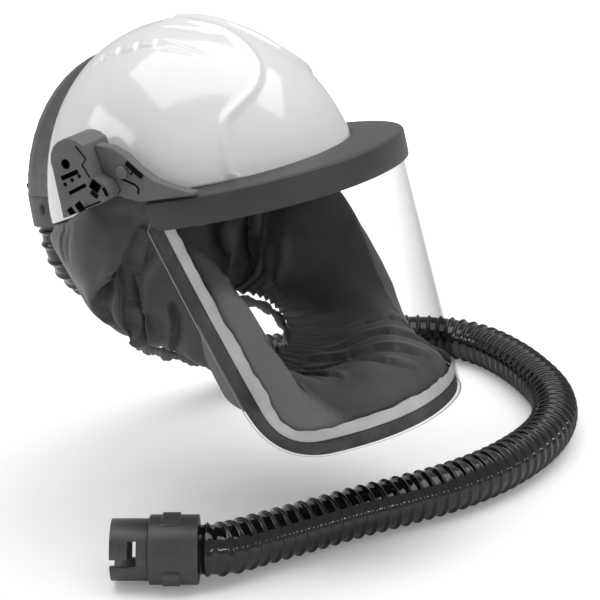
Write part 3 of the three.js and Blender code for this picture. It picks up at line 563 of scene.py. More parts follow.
def nearestOn(points, path):
    # distance from each point to the nearest sample of a path, and that sample's number
    best = np.full(points.shape[:-1], 1e9)
    number = np.zeros(points.shape[:-1], int)
    for i, sample in enumerate(path):
        away = np.linalg.norm(points - sample, axis=-1)
        closer = away < best
        best = np.where(closer, away, best)
        number = np.where(closer, i, number)
    return best, number


def lineOnCrown(points, line, side):
    # distance from each point to the line, and the share of the line's length passed there
    path = crownLine(line, side)
    away, number = nearestOn(points, path)
    return away, number / (len(path) - 1)


def crownRelief(points):
    # height added along the normal: ribs, grooves and small pads
    sizes = reliefSizes
    relief = np.zeros(points.shape[:-1])
    for side in (-1, 1):
        away, share = lineOnCrown(points, ribLine, side)
        wide = sizes["ribWide"] * (1 - sizes["ribThins"] * share)
        high = sizes["ribHigh"] * (1 - sizes["ribLowers"] * share)
        relief += high * np.exp(-((away / wide) ** 2) * 1.8)
        for line, width, depth in grooveLines:
            away, share = lineOnCrown(points, line, side)
            taper = np.sin(np.pi * np.clip(share, 0.02, 0.98)) ** 0.7
            relief -= depth * np.exp(-((away / (width * taper + 0.15)) ** 4))
        for turn, rise in padSpots:
            centre = crownLine([(turn, rise), (turn, rise - 1)], side, 1)[0]
            offset = points - centre
            along, across = np.abs(offset[..., 1]), np.abs(offset[..., 0])
            block = smoothStep(sizes["padLong"] - along, 0, sizes["padEdge"])
            block = block * smoothStep(sizes["padWide"] - across, 0, sizes["padEdge"])
            relief += sizes["padHigh"] * block * (points[..., 2] > sizes["padAbove"])
    return relief


def makeCrown():
    # dome from the rim to the top, outer face with relief, rolled rim, inner face plain
    s = crownSetup
    turn = fullTurn(s["turns"])
    start = riseAt(rimHeight(turn))
    share = 1 - (1 - np.linspace(0, s["topShare"], s["steps"])) ** s["spacing"]
    rise = start[None, :] + (math.pi / 2 - start[None, :]) * share[:, None]
    turn = np.broadcast_to(turn, rise.shape)
    outer = crownPoint(turn, rise)
    outwards = unit(crownPoint(turn, rise, 1.0) - outer)
    rim = np.exp(-((share[:, None] / s["rimRollOver"]) ** 2))
    relief = crownRelief(outer) * smoothStep(share, 0.0, s["reliefFrom"])[:, None]
    outer = outer + outwards * (relief - s["rimRoll"] * rim + s["lift"])[..., None]
    inner = crownPoint(turn, rise, -s["wall"])
    outerTop = crownPoint(np.zeros((1, s["turns"])), np.full((1, s["turns"]), math.pi / 2))
    innerTop = outerTop + np.array([0, 0, -s["wall"]])
    outer = fromCrown(np.concatenate([outer, outerTop]))
    inner = fromCrown(np.concatenate([inner, innerTop]))
    return finishPiece(wallMesh("crown_shell", outer, inner, True, pole=True), "shellWhite", "helmet_shell")


makeCrown()
print("crown made")


# Plan curve of the brow band and of the visor, right temple round the front to the left one
def planCurve(halfWidth, reach):
    turn = np.linspace(-math.pi / 2, math.pi / 2, 6001)
    x = halfWidth * signedPower(np.sin(turn), 2 / maskSetup["power"])
    y = -reach * signedPower(np.cos(turn), 2 / maskSetup["power"])
    length = np.concatenate([[0], np.cumsum(np.hypot(np.diff(x), np.diff(y)))])
    return {"x": x, "y": y, "length": length - length[-1] / 2, "half": length[-1] / 2}


browPlan = planCurve(maskSetup["halfWidth"], maskSetup["reach"])
setBack = maskSetup["browWall"] + maskSetup["gap"]
visorPlan = planCurve(maskSetup["halfWidth"] - setBack, maskSetup["reach"] - setBack)


def planPoint(plan, length, inset):
    # point at a length from the front centre, moved in by the inset; straight back beyond the ends
    def onPlan(at):
        at = np.clip(at, -plan["half"], plan["half"])
        return np.stack([np.interp(at, plan["length"], plan[axis]) for axis in "xy"])

    held = np.clip(length, -plan["half"], plan["half"])
    x, y = onPlan(held)
    tx, ty = onPlan(held + 0.5) - onPlan(held - 0.5)
    size = np.hypot(tx, ty)
    y = y + np.abs(length) - np.abs(held)
    return x - ty / size * inset, y + tx / size * inset


browShape = {
    "lift": 1.5, "stations": 220, "endRound": 10.0, "leastDeep": 10.0, "mostDeep": 75.0, "spare": 0.3,
}


def makeBrow():
    # section of rounded corners carried along the plan; its inner edge stops short of the crown
    s, shape = maskSetup, browShape
    length = browPlan["half"] * np.sin(np.linspace(-math.pi / 2, math.pi / 2, shape["stations"]))
    high, wall, radius = s["browHeight"], s["browWall"], s["browRound"]
    bend = np.radians(np.linspace(180, 90, 8))
    top = together(radius + radius * np.cos(bend), -radius + radius * np.sin(bend))
    foot = [(wall, -high + 0.8), (wall - 0.8, -high), (1.2, -high), (0.35, -high + 0.35), (0.0, -high + 1.2)]

    def clear(inset):
        x, y = planPoint(browPlan, length, inset)
        return insideCrown(fromMask(together(x, y, inset * 0 + shape["lift"])), s["gap"] + shape["spare"]) >= 1

    most, least = (np.full(len(length), shape[key]) for key in ("mostDeep", "leastDeep"))
    depth = bisected(least, most, 26, clear)
    # the lower edge rises in a quarter circle at each end
    short = np.clip(shape["endRound"] - browPlan["half"] + np.abs(length), 0, None)
    endRise = shape["endRound"] - np.sqrt(shape["endRound"] ** 2 - short**2)
    rings = [(inset, z + endRise) for inset, z in foot] + [(inset, z) for inset, z in top]
    inwards = ((0.45, 0.5), (0.8, 1.1), (1.0, shape["lift"]))
    rings += [(radius + (depth - radius) * share, z) for share, z in inwards]
    rings += [(depth, -wall + 0.6), (depth * 0.97, -wall), ((wall + depth) * 0.5, -wall)]
    rings += [(wall + 1.2, -wall), (wall, -wall - 1.2)]
    points = [together(*planPoint(browPlan, length, inset + 0 * length), z + 0 * length) for inset, z in rings]
    piece = makeMesh("brow_band", *tubeFaces(fromMask(np.stack(points, 1))))
    return finishPiece(piece, "browDark", "brow_frame")


makeBrow()
print("brow band made")


# Visor sheet, its edge band and tape. A flat point is a length from the front centre and a drop.
visorShape = {
    "wall": 1.2, "drop": 182.0, "tuck": 9.0, "lean": 49.0, "overhang": 6.0, "corner": 34.0,
    "footWidth": 0.97, "footReach": 1.06, "band": 11.0, "bandWall": 1.6, "trim": 9.5, "trimWall": 0.8,
    "columns": 130, "rows": 60,
}


def visorPoint(length, drop, inset):
    x, y = planPoint(visorPlan, length, inset)
    share = np.maximum(drop, 0) / visorShape["drop"]
    x = x * (1 + (visorShape["footWidth"] - 1) * share)
    y = y * (1 + (visorShape["footReach"] - 1) * share)
    return fromMask(together(x, y, -maskSetup["browHeight"] - drop))


def visorEdge(margin, count):
    # flat path of one side's cut edge, moved in by the margin: temple, corner, front centre
    s = visorShape
    slope = unit(np.array([-s["lean"], s["drop"]]))
    start = np.array([visorPlan["half"] + s["overhang"], 0]) + np.array([-slope[1], slope[0]]) * margin
    foot = s["drop"] - margin
    corner = start + slope * (foot - start[1]) / slope[1]
    back = (s["corner"] - margin) * math.tan((math.pi - math.acos(-slope[0])) / 2)
    before, after = corner - slope * back, np.array([corner[0] - back, foot])
    t = np.linspace(0, 1, 60)[:, None]
    bend = (1 - t) ** 2 * before + 2 * t * (1 - t) * corner + t**2 * after
    run = np.linspace(0, 1, 200)[:, None]
    path = [start + (before - start) * run[:-1], bend, after + (np.array([0, foot]) - after) * run[1:]]
    return evenly(np.concatenate(path), count)[0]


def wholeEdge(margin, count):
    half = visorEdge(margin, count)
    return np.concatenate([half * np.array([-1, 1]), half[-2::-1]])


def makeVisor():
    # lines from the top edge to the cut edge, straight on the flat sheet, then bent to the plan
    edge = wholeEdge(0, visorShape["columns"])
    top = np.linspace(-visorPlan["half"], visorPlan["half"], len(edge))
    share = np.linspace(0, 1, visorShape["rows"])[:, None]
    length = top + (edge[:, 0] - top) * share
    drop = -visorShape["tuck"] + (edge[:, 1] + visorShape["tuck"]) * share
    piece = wallMesh("visor_sheet", visorPoint(length, drop, 0.0), visorPoint(length, drop, visorShape["wall"]))
    finishPiece(piece, "visorClear", "visor")
    # the cut edge, whose faces come after those of the two sides, is pale: a painted highlight
    piece.data.materials.append(finishes["rimPale"])
    isRim = np.arange(len(piece.data.polygons)) >= 2 * (length.shape[0] - 1) * (length.shape[1] - 1)
    piece.data.polygons.foreach_set("material_index", isRim.astype(np.int32))
    return piece


def edgeStrip(name, marginA, marginB, insetA, insetB, first=0.0, last=1.0):
    # strip along the cut edge between two margins, which may be arrays along the edge
    nearMost, farMost = np.min(marginA), np.max(marginB)
    nearEdge, farEdge = wholeEdge(float(nearMost), stripStations), wholeEdge(float(farMost), stripStations)
    total = len(nearEdge)
    keep = slice(int(round(first * (total - 1))), int(round(last * (total - 1))) + 1)
    a, b = ((margin - nearMost) / (farMost - nearMost) + np.zeros(total) for margin in (marginA, marginB))
    share = a + (b - a) * np.linspace(0, 1, stripColumns)[:, None]
    flat = nearEdge[None] + (farEdge - nearEdge)[None] * share[..., None]
    length, drop = flat[:, keep, 0], flat[:, keep, 1]
    half = (insetB - insetA) / 2 * np.sin(np.linspace(0, math.pi, stripColumns))[:, None] ** 0.3
    middle = (insetA + insetB) / 2
    run = np.linspace(0, 0.72, total)[keep]
    uv = together(run[None, :], np.linspace(0, 0.012, stripColumns)[:, None])
    outer, inner = (visorPoint(length, drop, middle + way * half) for way in (-1, 1))
    return wallMesh(name, outer, inner, uv=uv)


stripStations, stripColumns = 220, 7
bandInset = visorShape["wall"] + maskSetup["sheetGap"]
clothInset = bandInset + visorShape["bandWall"] + maskSetup["sheetGap"]


def makeEdges():
    shape = visorShape
    band = edgeStrip("edge_band", 0.6, shape["band"], bandInset, bandInset + shape["bandWall"])
    finishPiece(band, "edgeDark", "visor_edge_band")
    along = np.linspace(0, 1, 2 * stripStations - 1)
    wave = 0.9 * hillSum(along, 0, 11, 7, 50, 0) + 0.5 * hillSum(along, 0, 12, 6, 160, 0)
    start = shape["band"] + maskSetup["gap"]
    wide = shape["trim"] + np.clip(wave, -2.2, 1.6)
    trim = edgeStrip("edge_tape", start, start + wide, bandInset, bandInset + shape["trimWall"])
    finishPiece(trim, "trimPale", "visor_trim")


makeVisor()
makeEdges()
print("visor made")


# Hood, from its top edge along the visor and under the rim, to the neck hem
clothShape = {
    "wall": 1.5, "hemHalfWidth": 64.0, "hemHalfLength": 59.0, "hemSetBack": -1.0, "hemDrop": 123.0,
    "hemRise": 23.0, "hemBackRise": 15.0, "hemCord": 4.2, "ruffles": 19, "ruffleDepth": 1.2,
    "boundary": 0.62, "rimStart": 0.67, "rimTurn": 97.0, "foldDepth": 20.0, "halfColumns": 216, "rows": 98,
    "middleRow": 30, "gathers": 24, "gatherDepth": 1.9, "hemStations": 684, "hemColumns": 20,
    "hemFlat": 0.7, "paintedLightBack": 56, "outerSheet": -20,
}
hoodTable = np.array([
    [0, 0, -1.38, 0.6, 0, -1.1, 0.54, 0, -0.77, 0.615],
    [0.1, 0.39, -1.28, 0.605, 0.33, -1.02, 0.535, 0.24, -0.71, 0.605],
    [0.22, 0.7, -1.03, 0.655, 0.6, -0.94, 0.55, 0.42, -0.62, 0.595],
    [0.32, 0.78, -0.91, 0.57, 0.69, -0.77, 0.495, 0.55, -0.5, 0.57],
    [0.42, 0.82, -0.79, 0.4, 0.75, -0.55, 0.395, 0.65, -0.3, 0.54],
    [0.52, 0.84, -0.6, 0.19, 0.77, -0.31, 0.25, 0.71, -0.14, 0.485],
    [0.6, 0.86, -0.38, 0.02, 0.78, -0.12, 0.165, 0.74, -0.04, 0.445],
    [0.68, 0.9, 0.07, -0.07, 0.94, 0.11, 0.165, 0.8, 0.1, 0.46],
    [0.76, 0.87, 0.42, -0.01, 0.9, 0.36, 0.2, 0.71, 0.28, 0.435],
    [0.86, 0.61, 0.77, 0.11, 0.63, 0.63, 0.27, 0.46, 0.45, 0.47],
    [0.93, 0.33, 0.9, 0.165, 0.35, 0.8, 0.315, 0.28, 0.55, 0.52],
    [1, 0, 0.78, 0.15, 0, 0.68, 0.36, 0, 0.56, 0.54],
])  # share of the way round, then across, back and down for the lip, the middle and the low point
foldTable = [
    (-1, 0.655, 0.012, 0.6, 0.15, 0.95), (-1, 0.715, 0.022, 0.75, 0.5, 0.98),
    (-1, 0.69, 0.016, -0.25, 0.35, 0.95), (-1, 0.8, 0.03, 0.2, 0.45, 0.98),
    (1, 0.655, 0.014, 0.5, 0.15, 0.95), (1, 0.74, 0.024, 0.55, 0.4, 0.98), (1, 0.84, 0.03, 0.35, 0.4, 0.98),
    (-1, 0.06, 0.03, 0.25, 0.35, 0.9), (1, 0.09, 0.028, 0.3, 0.3, 0.9), (1, 0.2, 0.03, 0.35, 0.35, 0.9),
]  # side, at, spread, depth, from, to


def hoodColumns(at):
    # Hermite curve through the table's rows, with slopes from the neighbouring rows
    size = np.array([maskSetup["halfWidth"], 1, -visorShape["drop"]])
    rows = hoodTable[:, 1:].reshape(-1, 3, 3) * size
    reach = np.where(rows[..., 1] < 0, maskSetup["reach"], crownSetup["back"])
    rows[..., 1] *= reach
    mirror = np.array([-1, 1, 1])
    rows = np.concatenate([rows[1:2] * mirror, rows, rows[-2:-1] * mirror])
    places = hoodTable[:, 0]
    row = np.clip(np.searchsorted(places, at, side="left") - 1, 0, len(places) - 2)
    s = ((at - places[row]) / (places[row + 1] - places[row]))[:, None, None]
    a, b, c, d = (rows[row + k] for k in range(4))
    return hermite(b, c, (c - a) / 2, (d - b) / 2, s)


def rimAttach(turn):
    point = crownPoint(turn, riseAt(rimHeight(turn)), -crownSetup["wall"] / 2)
    point[..., 2] -= clothShape["wall"]
    return fromCrown(point)


def hoodTop(at):
    # along the visor's edge up to the temple, then under the crown's rim to the nape
    s = clothShape
    edge = visorEdge(visorShape["band"] * 0.5, 2001)
    share = 1 - np.clip(at / s["boundary"], 0, 1) * 0.985
    flat = np.stack([np.interp(share, np.linspace(0, 1, 2001), edge[:, i]) for i in range(2)], -1)
    alongVisor = visorPoint(flat[:, 0], flat[:, 1], clothInset + s["wall"])
    rimStart = math.radians(s["rimTurn"])
    turn = rimStart + (math.pi - rimStart) * np.clip((at - s["rimStart"]) / (1 - s["rimStart"]), 0, 1)
    alongRim = rimAttach(turn)
    blend = np.clip((at - s["boundary"]) / (s["rimStart"] - s["boundary"]), 0, 1)[:, None]
    return alongVisor * (1 - blend) + alongRim * blend


def hemPoint(turn):
    s = clothShape
    cosine = np.cos(turn)
    lift = s["hemRise"] * np.sin(turn) ** 2 + np.where(cosine < 0, s["hemBackRise"] * cosine**2, 0)
    y = s["hemSetBack"] - s["hemHalfLength"] * cosine
    return together(s["hemHalfWidth"] * np.sin(turn), y, lift - s["hemDrop"])


def hemTurn(at):
    return np.where(at < 0.6, at / 0.6, 1 + (at - 0.6) / 0.4) * math.pi / 2


def sheetCurve(knots, v):
    # curve down each column; knots has five points for each place
    ends = np.concatenate([2 * knots[:, :1] - knots[:, 1:2], knots, 2 * knots[:, -1:] - knots[:, -2:-1]], 1)
    part = np.clip((v * 4).astype(int), 0, 3)
    a, b, c, d = (ends[:, part + k].transpose(1, 0, 2) for k in range(4))
    return chordal(a, b, c, d, (v * 4 - part)[:, None, None])


def hoodHalf(side, at, v):
    top = hoodTop(at)
    foot = hemPoint(hemTurn(at))
    s = clothShape
    foot[:, 2] += s["hemCord"] + s["ruffleDepth"] + s["wall"] + maskSetup["gap"]
    columns = hoodColumns(at)
    sheet = sheetCurve(np.stack([top, columns[:, 0], columns[:, 1], columns[:, 2], foot], 1), v)
    inwards = np.zeros(sheet.shape[:2])
    for foldSide, place, spread, depth, start, end in foldTable:
        if foldSide == side:
            across = np.exp(-(((at - place) / spread) ** 2))
            along = np.maximum(0, 1 - ((v - (start + end) / 2) / ((end - start) / 2)) ** 2)
            inwards += depth * s["foldDepth"] * across[None] * along[:, None]
    sheet = sheet - unit(sheet * np.array([1, 1, 0])) * inwards[..., None]
    fade = (1 - smoothStep(v, 0, 0.30))[:, None, None]
    sheet = sheet + (flapTop(sheet[0]) - sheet[0])[None] * fade
    return sheet * np.array([side, 1, 1])


# Top edge of the cloth at the sides, outside the crown's rim: how far back, and how high
flapLine = np.array([
    (-14, 18), (-10, 27), (-6, 32), (-2, 34), (6, 33.5), (20, 31), (33, 25.5), (44, 20), (54, 13), (64, 6),
    (76, 0),
])
flapSizes = {
    "off": 2.2, "from": -13.0, "to": 74.0, "frontBlend": 6, "backBlend": 16, "least": 60.0, "most": 125.0,
}


def flapTop(top):
    # lifts the sheet's top edge to the flap line and moves it out past the crown's surface
    s = flapSizes
    y = top[:, 1]
    near = smoothStep(y, s["from"] - s["frontBlend"], s["from"])
    near = near * (1 - smoothStep(y, s["to"] - s["backBlend"], s["to"]))
    place = together(top[:, 0], y, np.interp(y, flapLine[:, 0], flapLine[:, 1]))

    def inside(across):
        return insideCrown(np.column_stack([across, place[:, 1:]]), s["off"]) < 1

    place[:, 0] = bisected(np.full(len(top), s["least"]), np.full(len(top), s["most"]), 24, inside)
    return top + (place - top) * near[:, None]


# Folds on one side, drawn on the side view as (how far back, height) in mm.
# Each is the line, the cloth's height on its rear side and how far that reaches, and the same for its
# depth in front.
sideFolds = [
    ([(4, -12), (11, -18), (20, -27), (32, -40), (38, -50), (38, -60), (33, -70)], 3.5, 9, 14, 8.5),
    ([(10, -16), (12, -36), (16, -56), (23, -80)], 4.5, 5, -4.5, 5),
    ([(-6, 14), (-2, 0), (3, -16), (6, -34), (7, -50), (8, -66), (12, -82)], -13, 5.5, -3, 5),
    ([(9, -48.5), (-4, -46.8), (-30, -45)], -0.5, 1.4, -0.9, 1.3),
    ([(-15, -47), (-18, -64), (-13, -88)], 2.5, 5, 6.5, 6.5),
    ([(2, -56), (-4, -64), (-6, -78)], -4.5, 5, 4.5, 4),
    ([(14, 24), (16, 8), (14, -4)], -1.6, 3.5, 1.6, 4),
    ([(2, 29), (6, 14), (8, 2)], -1.5, 3, 1.4, 4.5),
    ([(58, 4), (62, -12), (60, -26)], -1.4, 3, 1.2, 3.5),
    ([(72, 0), (74, -14), (70, -30)], 1.2, 3, 1.5, 3),
    ([(70, -48), (58, -62), (50, -76)], -3, 6, 2, 6),
]
puffs = [(58, -70, 20, 6), (46, -14, 24, 3.5), (-8, -24, 15, 2.5)]  # how far back, height, reach, swell


def lineDistance(u, v, points):
    # signed distance to the curve through the points, positive on its left, and the share along it
    line = chordalPath(points, 16)
    away, number = nearestOn(together(u, v), line)
    step = np.gradient(line, axis=0)[number]
    turned = step[..., 0] * (v - line[number, 1]) - step[..., 1] * (u - line[number, 0])
    return np.sign(turned) * away, number / (len(line) - 1)


def foldHeight(u, v, fold):
    # each side of the line falls away as a bell, and both ends fade out
    line, raised, raisedOver, sunk, sunkOver = fold
    signed, share = lineDistance(u, v, line)
    rear = raised * np.exp(-((signed / raisedOver) ** 2))
    front = -sunk * np.exp(-((signed / sunkOver) ** 2))
    return (front + (rear - front) * smoothStep(signed, -0.7, 0.7)) * np.sin(np.pi * share) ** 0.45


def sideSculpt(sheet, side):
    # folds and puffs of one side, only where the sheet faces that side
    y, z = sheet[..., 1], sheet[..., 2]
    near = smoothStep(side * sheet[..., 0], 34, 60)
    height = sum(foldHeight(y, z, fold) for fold in sideFolds)
    for back, up, over, high in puffs:
        height = height + high * np.exp(-((np.hypot(y - back, z - up) / over) ** 2))
    return height * near


# Folds of the panel under the chin, drawn from above as (across, forward) in mm, wearer's left positive
chinFolds = [
    ([(-106, 58), (-103, 70), (-99, 84), (-94, 104), (-86, 124), (-76, 150), (-62, 176)], 2.5, 5, 9, 12),
    ([(20, 84), (36, 118), (48, 150), (56, 174)], 4, 7, 3, 7),
    ([(4, 80), (10, 112), (16, 146), (22, 176)], 3.5, 7, 4, 8),
    ([(-16, 82), (-14, 112), (-10, 150), (-6, 178)], 3, 6, 3, 7),
    ([(-34, 86), (-46, 112), (-54, 140)], 3, 6, 3.5, 6),
    ([(52, 92), (72, 116), (84, 138)], 4, 6, 2.5, 6),
    ([(84, 70), (97, 88), (98, 108)], 2.5, 5, 3, 6),
]


def chinSculpt(sheet):
    height = sum(foldHeight(sheet[..., 0], -sheet[..., 1], fold) for fold in chinFolds)
    return height * smoothStep(-sheet[..., 1], 52, 66)


def paintedLightDistance(sheet):
    # how far a point lies outside the long crease under the chin, the same on both sides; above nought the
    # cloth is painted lighter, as painted light
    across, forward = -np.abs(sheet[..., 0]), -sheet[..., 1]
    signed = lineDistance(across, forward, chinFolds[0][0])[0]
    return np.minimum(signed, forward - clothShape["paintedLightBack"])


def makeHood():
    # table surface with its top edge turned out, then folds, gathers and soft wrinkles along the normal
    s = clothShape
    at = np.linspace(0, 1, s["halfColumns"] + 1)
    v = np.linspace(0, 1, s["rows"])
    sheet = np.concatenate([hoodHalf(-1, at, v), hoodHalf(1, at, v)[:, -2:0:-1]], 1)
    around = np.concatenate([at, 2 - at[-2:0:-1]])[None, :]
    down = v[:, None]
    panel = paintedLightDistance(sheet)
    outwards = outwardNormals(sheet)
    pinned = smoothStep(down, 0.02, 0.10) * (1 - smoothStep(down, 0.93, 1.0))
    chin = smoothStep(-np.abs(around - 1), -1.0, -0.42)
    swell = sideSculpt(sheet, -1) + sideSculpt(sheet, 1)
    sunk = chinSculpt(sheet) * pinned * (1 - chin)
    gather = np.cos(around * math.pi * 2 * s["gathers"] + 1.6 * hillSum(around, down, 5, 5, 14, 3))
    gather = s["gatherDepth"] * smoothStep(down, 0.74, 1.0) * gather
    small = hillSum(around, down, 6, 9, 30, 7) + hillSum(around, down, 7, 9, 70, 12) * 0.35
    drift = small * smoothStep(down, 0.04, 0.2) * (1 - smoothStep(down, 0.9, 1))
    sheet = sheet + outwards * (swell * pinned + gather + drift)[..., None]
    sheet[..., 2] -= sunk
    inner = sheet - outwardNormals(sheet) * s["wall"]
    run = runLengths(sheet[s["middleRow"]]) * mm
    fall = np.concatenate([[0], np.cumsum(np.linalg.norm(np.diff(sheet, axis=0), axis=-1).mean(1))]) * mm
    uv = together(run[None, :], fall[:, None])
    piece = wallMesh("hood_cloth", sheet, inner, True, uv=uv)
    layer = piece.data.attributes.new("panel", "FLOAT", "POINT")
    # the outer sheet is all on the near side of the crease, so that only the inner one has the second colour,
    # the painted light
    outside = np.full(panel.size, s["outerSheet"])
    layer.data.foreach_set("value", np.concatenate([outside, panel.ravel()]).astype(np.float32))
    finishPiece(piece, "clothDark", "hood")
    return piece, float(run[-1]), float(fall[-1])


def makeHem():
    # cord of elastic in a gathered tube: radius and height swell with the ruffles
    s = clothShape
    turn = fullTurn(s["hemStations"])
    swell = s["hemCord"] + s["ruffleDepth"] * np.cos(turn * s["ruffles"])
    swell = swell + 0.5 * hillSum(turn, 0, 21, 8, 40, 0)
    around = fullTurn(s["hemColumns"])
    outwards = together(np.sin(turn), -np.cos(turn), 0)
    away = swell[:, None] * np.cos(around) * s["hemFlat"]
    ring = hemPoint(turn)[:, None] + outwards[:, None] * away[..., None]
    ring[..., 2] += swell[:, None] * np.sin(around)
    uv = together(turn[:, None] * 0.06, around[None, :] * 0.004)
    points = ring.reshape(-1, 3)
    number = gridNumbers(s["hemStations"], s["hemColumns"], True)
    quads = gridFaces(np.concatenate([number, number[:1]]))
    quads = quads if facesOut(points, quads) else quads[:, ::-1]
    return finishPiece(makeMesh("hem_gathered", points, quads, uv=uv), "clothDark", "neck_hem")


chinStrip = {"off": 2.1, "wall": 1.6, "inner": 12.0, "outer": 5.0, "start": 0.11, "end": 0.24}


def makeChinStrips():
    # strips along both sides of the visor, widest at their middle; start and end are shares of its cut edge
    s = chinStrip
    inset = clothInset + clothShape["wall"] + s["off"]
    along = np.linspace(0, 1, 2 * stripStations - 1)
    opening = 0.35 + 0.65 * smoothStep(along, s["start"], 0.15)
    wide = s["inner"] * opening * (1 - smoothStep(along, 0.185, 0.235))
    sides = (("right", s["start"], s["end"], wide), ("left", 1 - s["end"], 1 - s["start"], wide[::-1]))
    for side, first, last, width in sides:
        strip = edgeStrip(
            "chin_strip_cloth_" + side, -width, s["outer"] + 0 * width, inset, inset + s["wall"], first, last
        )
        # the chin strips get the lighter copy of the dark cloth, painted light
        finishPiece(strip, "clothLit", "chin_strip_" + side)


hoodPiece, hoodRound, hoodFall = makeHood()
hemPiece = makeHem()
makeChinStrips()
print("cloth made", hoodRound, hoodFall)


# Rounded copies of the moulded pieces, merged and bevelled: radius in mm, segments and finish
mouldedSides = {
    "pivot_block": (1.2, 2, "plasticGrey"), "visor_arm": (1.6, 3, "plasticGrey"),
    "arm_boss": (0.8, 2, "plasticGrey"), "arm_pad": (0.4, 2, "plasticBlack"),
}
mouldedSingles = {
    "duct_outlet": (1.2, 3, "plasticGrey"), "outlet_button": (0.5, 2, "plasticDark"),
    "rear_duct": (2.0, 3, "plasticGrey"), "connector_collar": (0.8, 2, "plasticDark"),
    "connector_spigot": (0.6, 2, "plasticDark"),
}
bevelAngle, weldReach = math.radians(35), 0.02 * mm
pocketDepths = (0.3 * mm, 6.2 * mm)


def roundedCopy(node, side, radius, segments, finish):
    mesh = bpy.data.objects[node + side].data.copy()
    piece = placeNew(node + "_rounded" + side, mesh)
    mesh.name = piece.name
    piece.modifiers.new("weld", "WELD").merge_threshold = weldReach
    bevel = piece.modifiers.new("bevel", "BEVEL")
    bevel.width = radius * mm
    bevel.segments = segments
    bevel.limit_method = "ANGLE"
    bevel.angle_limit = bevelAngle
    bevel.harden_normals = False
    mesh.polygons.foreach_set("use_smooth", np.full(len(mesh.polygons), True))
    return finishPiece(piece, finish, node + side)


def paintPocketShade(piece):
    # the floors and walls of the shallow cuts in a block's outer face are black: painted shade
    faces = piece.data.polygons
    across = np.abs([face.center[0] for face in faces])
    sunk = across.max() - across
    piece.data.materials.append(finishes["plasticBlack"])
    faces.foreach_set("material_index", ((sunk > pocketDepths[0]) & (sunk < pocketDepths[1])).astype(np.int32))


rounded = {}
for side in ("_right", "_left"):
    for node, setup in mouldedSides.items():
        rounded[node + side] = roundedCopy(node, side, *setup)
    paintPocketShade(rounded["pivot_block" + side])
for node, setup in mouldedSingles.items():
    rounded[node] = roundedCopy(node, "", *setup)
print("moulded pieces made")


# Painted shade of holes, slots and gaps on the temple blocks and arms, as black dots and lines: width, and
# points (how far back, height) in the side plane
templeShadeMarks = {
    "pivot_block": [
        (3.0, [(40.9, 45.2)]), (3.0, [(35.1, 49.1)]), (3.0, [(29.1, 52.7)]),
        (1.1, [(31.0, 74.0), (23.0, 65.8), (26.2, 61.0), (20.4, 52.6)]), (3.6, [(20.0, 42.6), (14.4, 39.4)]),
        (2.8, [(9.6, 47.0), (6.6, 41.2)]), (1.0, [(30.6, 27.6), (12.4, 36.4)]),
    ],
    "visor_arm": [
        (1.5, [(3.4, 51.4), (0.4, 50.6), (-3.4, 49.6), (-9.6, 47.6), (-11.4, 45.4), (-10.8, 41.6)]),
        (1.1, [(-5.0, 54.6), (-7.6, 57.6)]),
    ],
}
markSizes = {"into": 0.4, "proud": 0.25, "dotCorners": 16}


def markRings(wide, line, low, high):
    # a line is a flat bar along its points, and a single point is a round dot, between two distances out
    points = np.array(line)
    if len(points) == 1:
        count = markSizes["dotCorners"]
        turn = fullTurn(count)
        ring = points + wide / 2 * together(np.cos(turn), np.sin(turn))
        return np.stack([np.column_stack([np.full(count, out), ring]) for out in (low, high)])
    step = unit(np.gradient(points, axis=0))
    across = together(-step[:, 1], step[:, 0]) * wide / 2
    corners = ((low, across), (low, -across), (high, -across), (high, across))
    return np.stack([np.column_stack([np.full(len(points), out), points + shift]) for out, shift in corners], 1)


def makeMarks(node, side):
    name = node + ("_right" if side < 0 else "_left")
    face = max(abs(vertex.co[0]) for vertex in bpy.data.objects[name].data.vertices) / mm
    low, high = side * (face - markSizes["into"]), side * (face + markSizes["proud"])
    parts = [tubeFaces(markRings(wide, line, low, high)) for wide, line in templeShadeMarks[node]]
    starts = np.cumsum([0] + [len(part[0]) for part in parts])
    points, quads, fans = zip(*parts)
    quads = [faces + start for faces, start in zip(quads, starts)]
    fans = [faces + start for faces, start in zip(fans, starts)]
    piece = makeMesh(name + "_gaps", *(np.concatenate(each) for each in (points, quads, fans)), smooth=False)
    finishPiece(piece, "plasticBlack")


for node in templeShadeMarks:
    makeMarks(node, -1)
    makeMarks(node, 1)


# Scene: pale floor, soft studio light
floorSetup = {"reach": 6000.0, "height": -240.3, "near": 0.30, "far": 1.2, "nearGlow": 0.14, "farGlow": 0.9}
studio = {"low": 0.56, "high": 0.50, "fromHeight": -0.1, "toHeight": 0.9, "seen": 1.05}


def straightRays(tree):
    rays = addNode(tree, "LightPath").outputs
    return mathNode(tree, "MAXIMUM", rays["Is Camera Ray"], rays["Is Transmission Ray"])


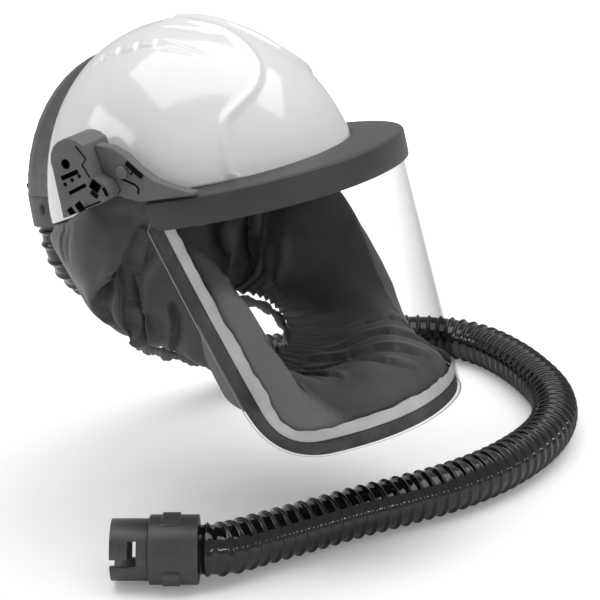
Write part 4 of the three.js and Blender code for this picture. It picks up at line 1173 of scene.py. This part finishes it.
def makeStage():
    # the floor glows more the farther it is from the part, so that it meets the white backdrop
    s = floorSetup
    corners = [(x * s["reach"], y * s["reach"], s["height"]) for x, y in ((-1, -1), (1, -1), (1, 1), (-1, 1))]
    floor = makeMesh("floor", corners, np.array([[0, 1, 2, 3]]), smooth=False)
    material, tree, shader = newMaterial("floorPale")
    place = addNode(tree, "TexCoord").outputs["Object"]
    distance = addNode(tree, "VectorMath", {"operation": "LENGTH"}, n0=place).outputs["Value"]
    glow = rangeNode(tree, distance, s["near"], s["far"], s["nearGlow"], s["farGlow"], True)
    seen = mathNode(tree, "MULTIPLY", glow, straightRays(tree))
    setInputs(tree, shader, {"Base Color": (0.93, 0.93, 0.93, 1), "Roughness": 0.8})
    setInputs(tree, shader, {"Emission Color": (1, 1, 1, 1), "Emission Strength": seen})
    floor.data.materials.append(material)


def makeLight(name, place, target, size, power, spin=0.0):
    data = bpy.data.lights.new(name, "AREA")
    data.shape = "RECTANGLE"
    data.size, data.size_y = size
    data.energy = power
    lamp = placeNew(name, data)
    lamp.location = place
    lamp.rotation_euler = (Vector(target) - Vector(place)).to_track_quat("-Z", "Y").to_euler()
    lamp.rotation_euler.rotate_axis("Z", math.radians(spin))


def makeWorld():
    # light grey room, which is white to the camera
    world = bpy.data.worlds.new("studio")
    world.use_nodes = True
    tree = world.node_tree
    height = addNode(tree, "SeparateXYZ", n0=addNode(tree, "TexCoord").outputs["Generated"]).outputs[2]
    room = rangeNode(tree, height, studio["fromHeight"], studio["toHeight"], studio["low"], studio["high"])
    mix = addNode(tree, "Mix", n0=straightRays(tree), n2=room, n3=studio["seen"]).outputs[0]
    setInputs(tree, tree.nodes["Background"], {"Color": (1, 1, 1, 1), "Strength": mix})
    scene.world = world


makeStage()
makeWorld()
makeLight("overhead", (0.10, -0.04, 1.40), (0.10, -0.04, 0), (2.7, 1.26), 24, -50)
makeLight("rear", (-1.05, 1.56, 0.80), (0, 0.04, 0.08), (1.25, 0.34), 3.2)
makeLight("strip", (-0.95, -2.20, 0.50), (0.12, -0.10, -0.16), (1.5, 0.10), 7.0)
scene.view_settings.view_transform = "Standard"
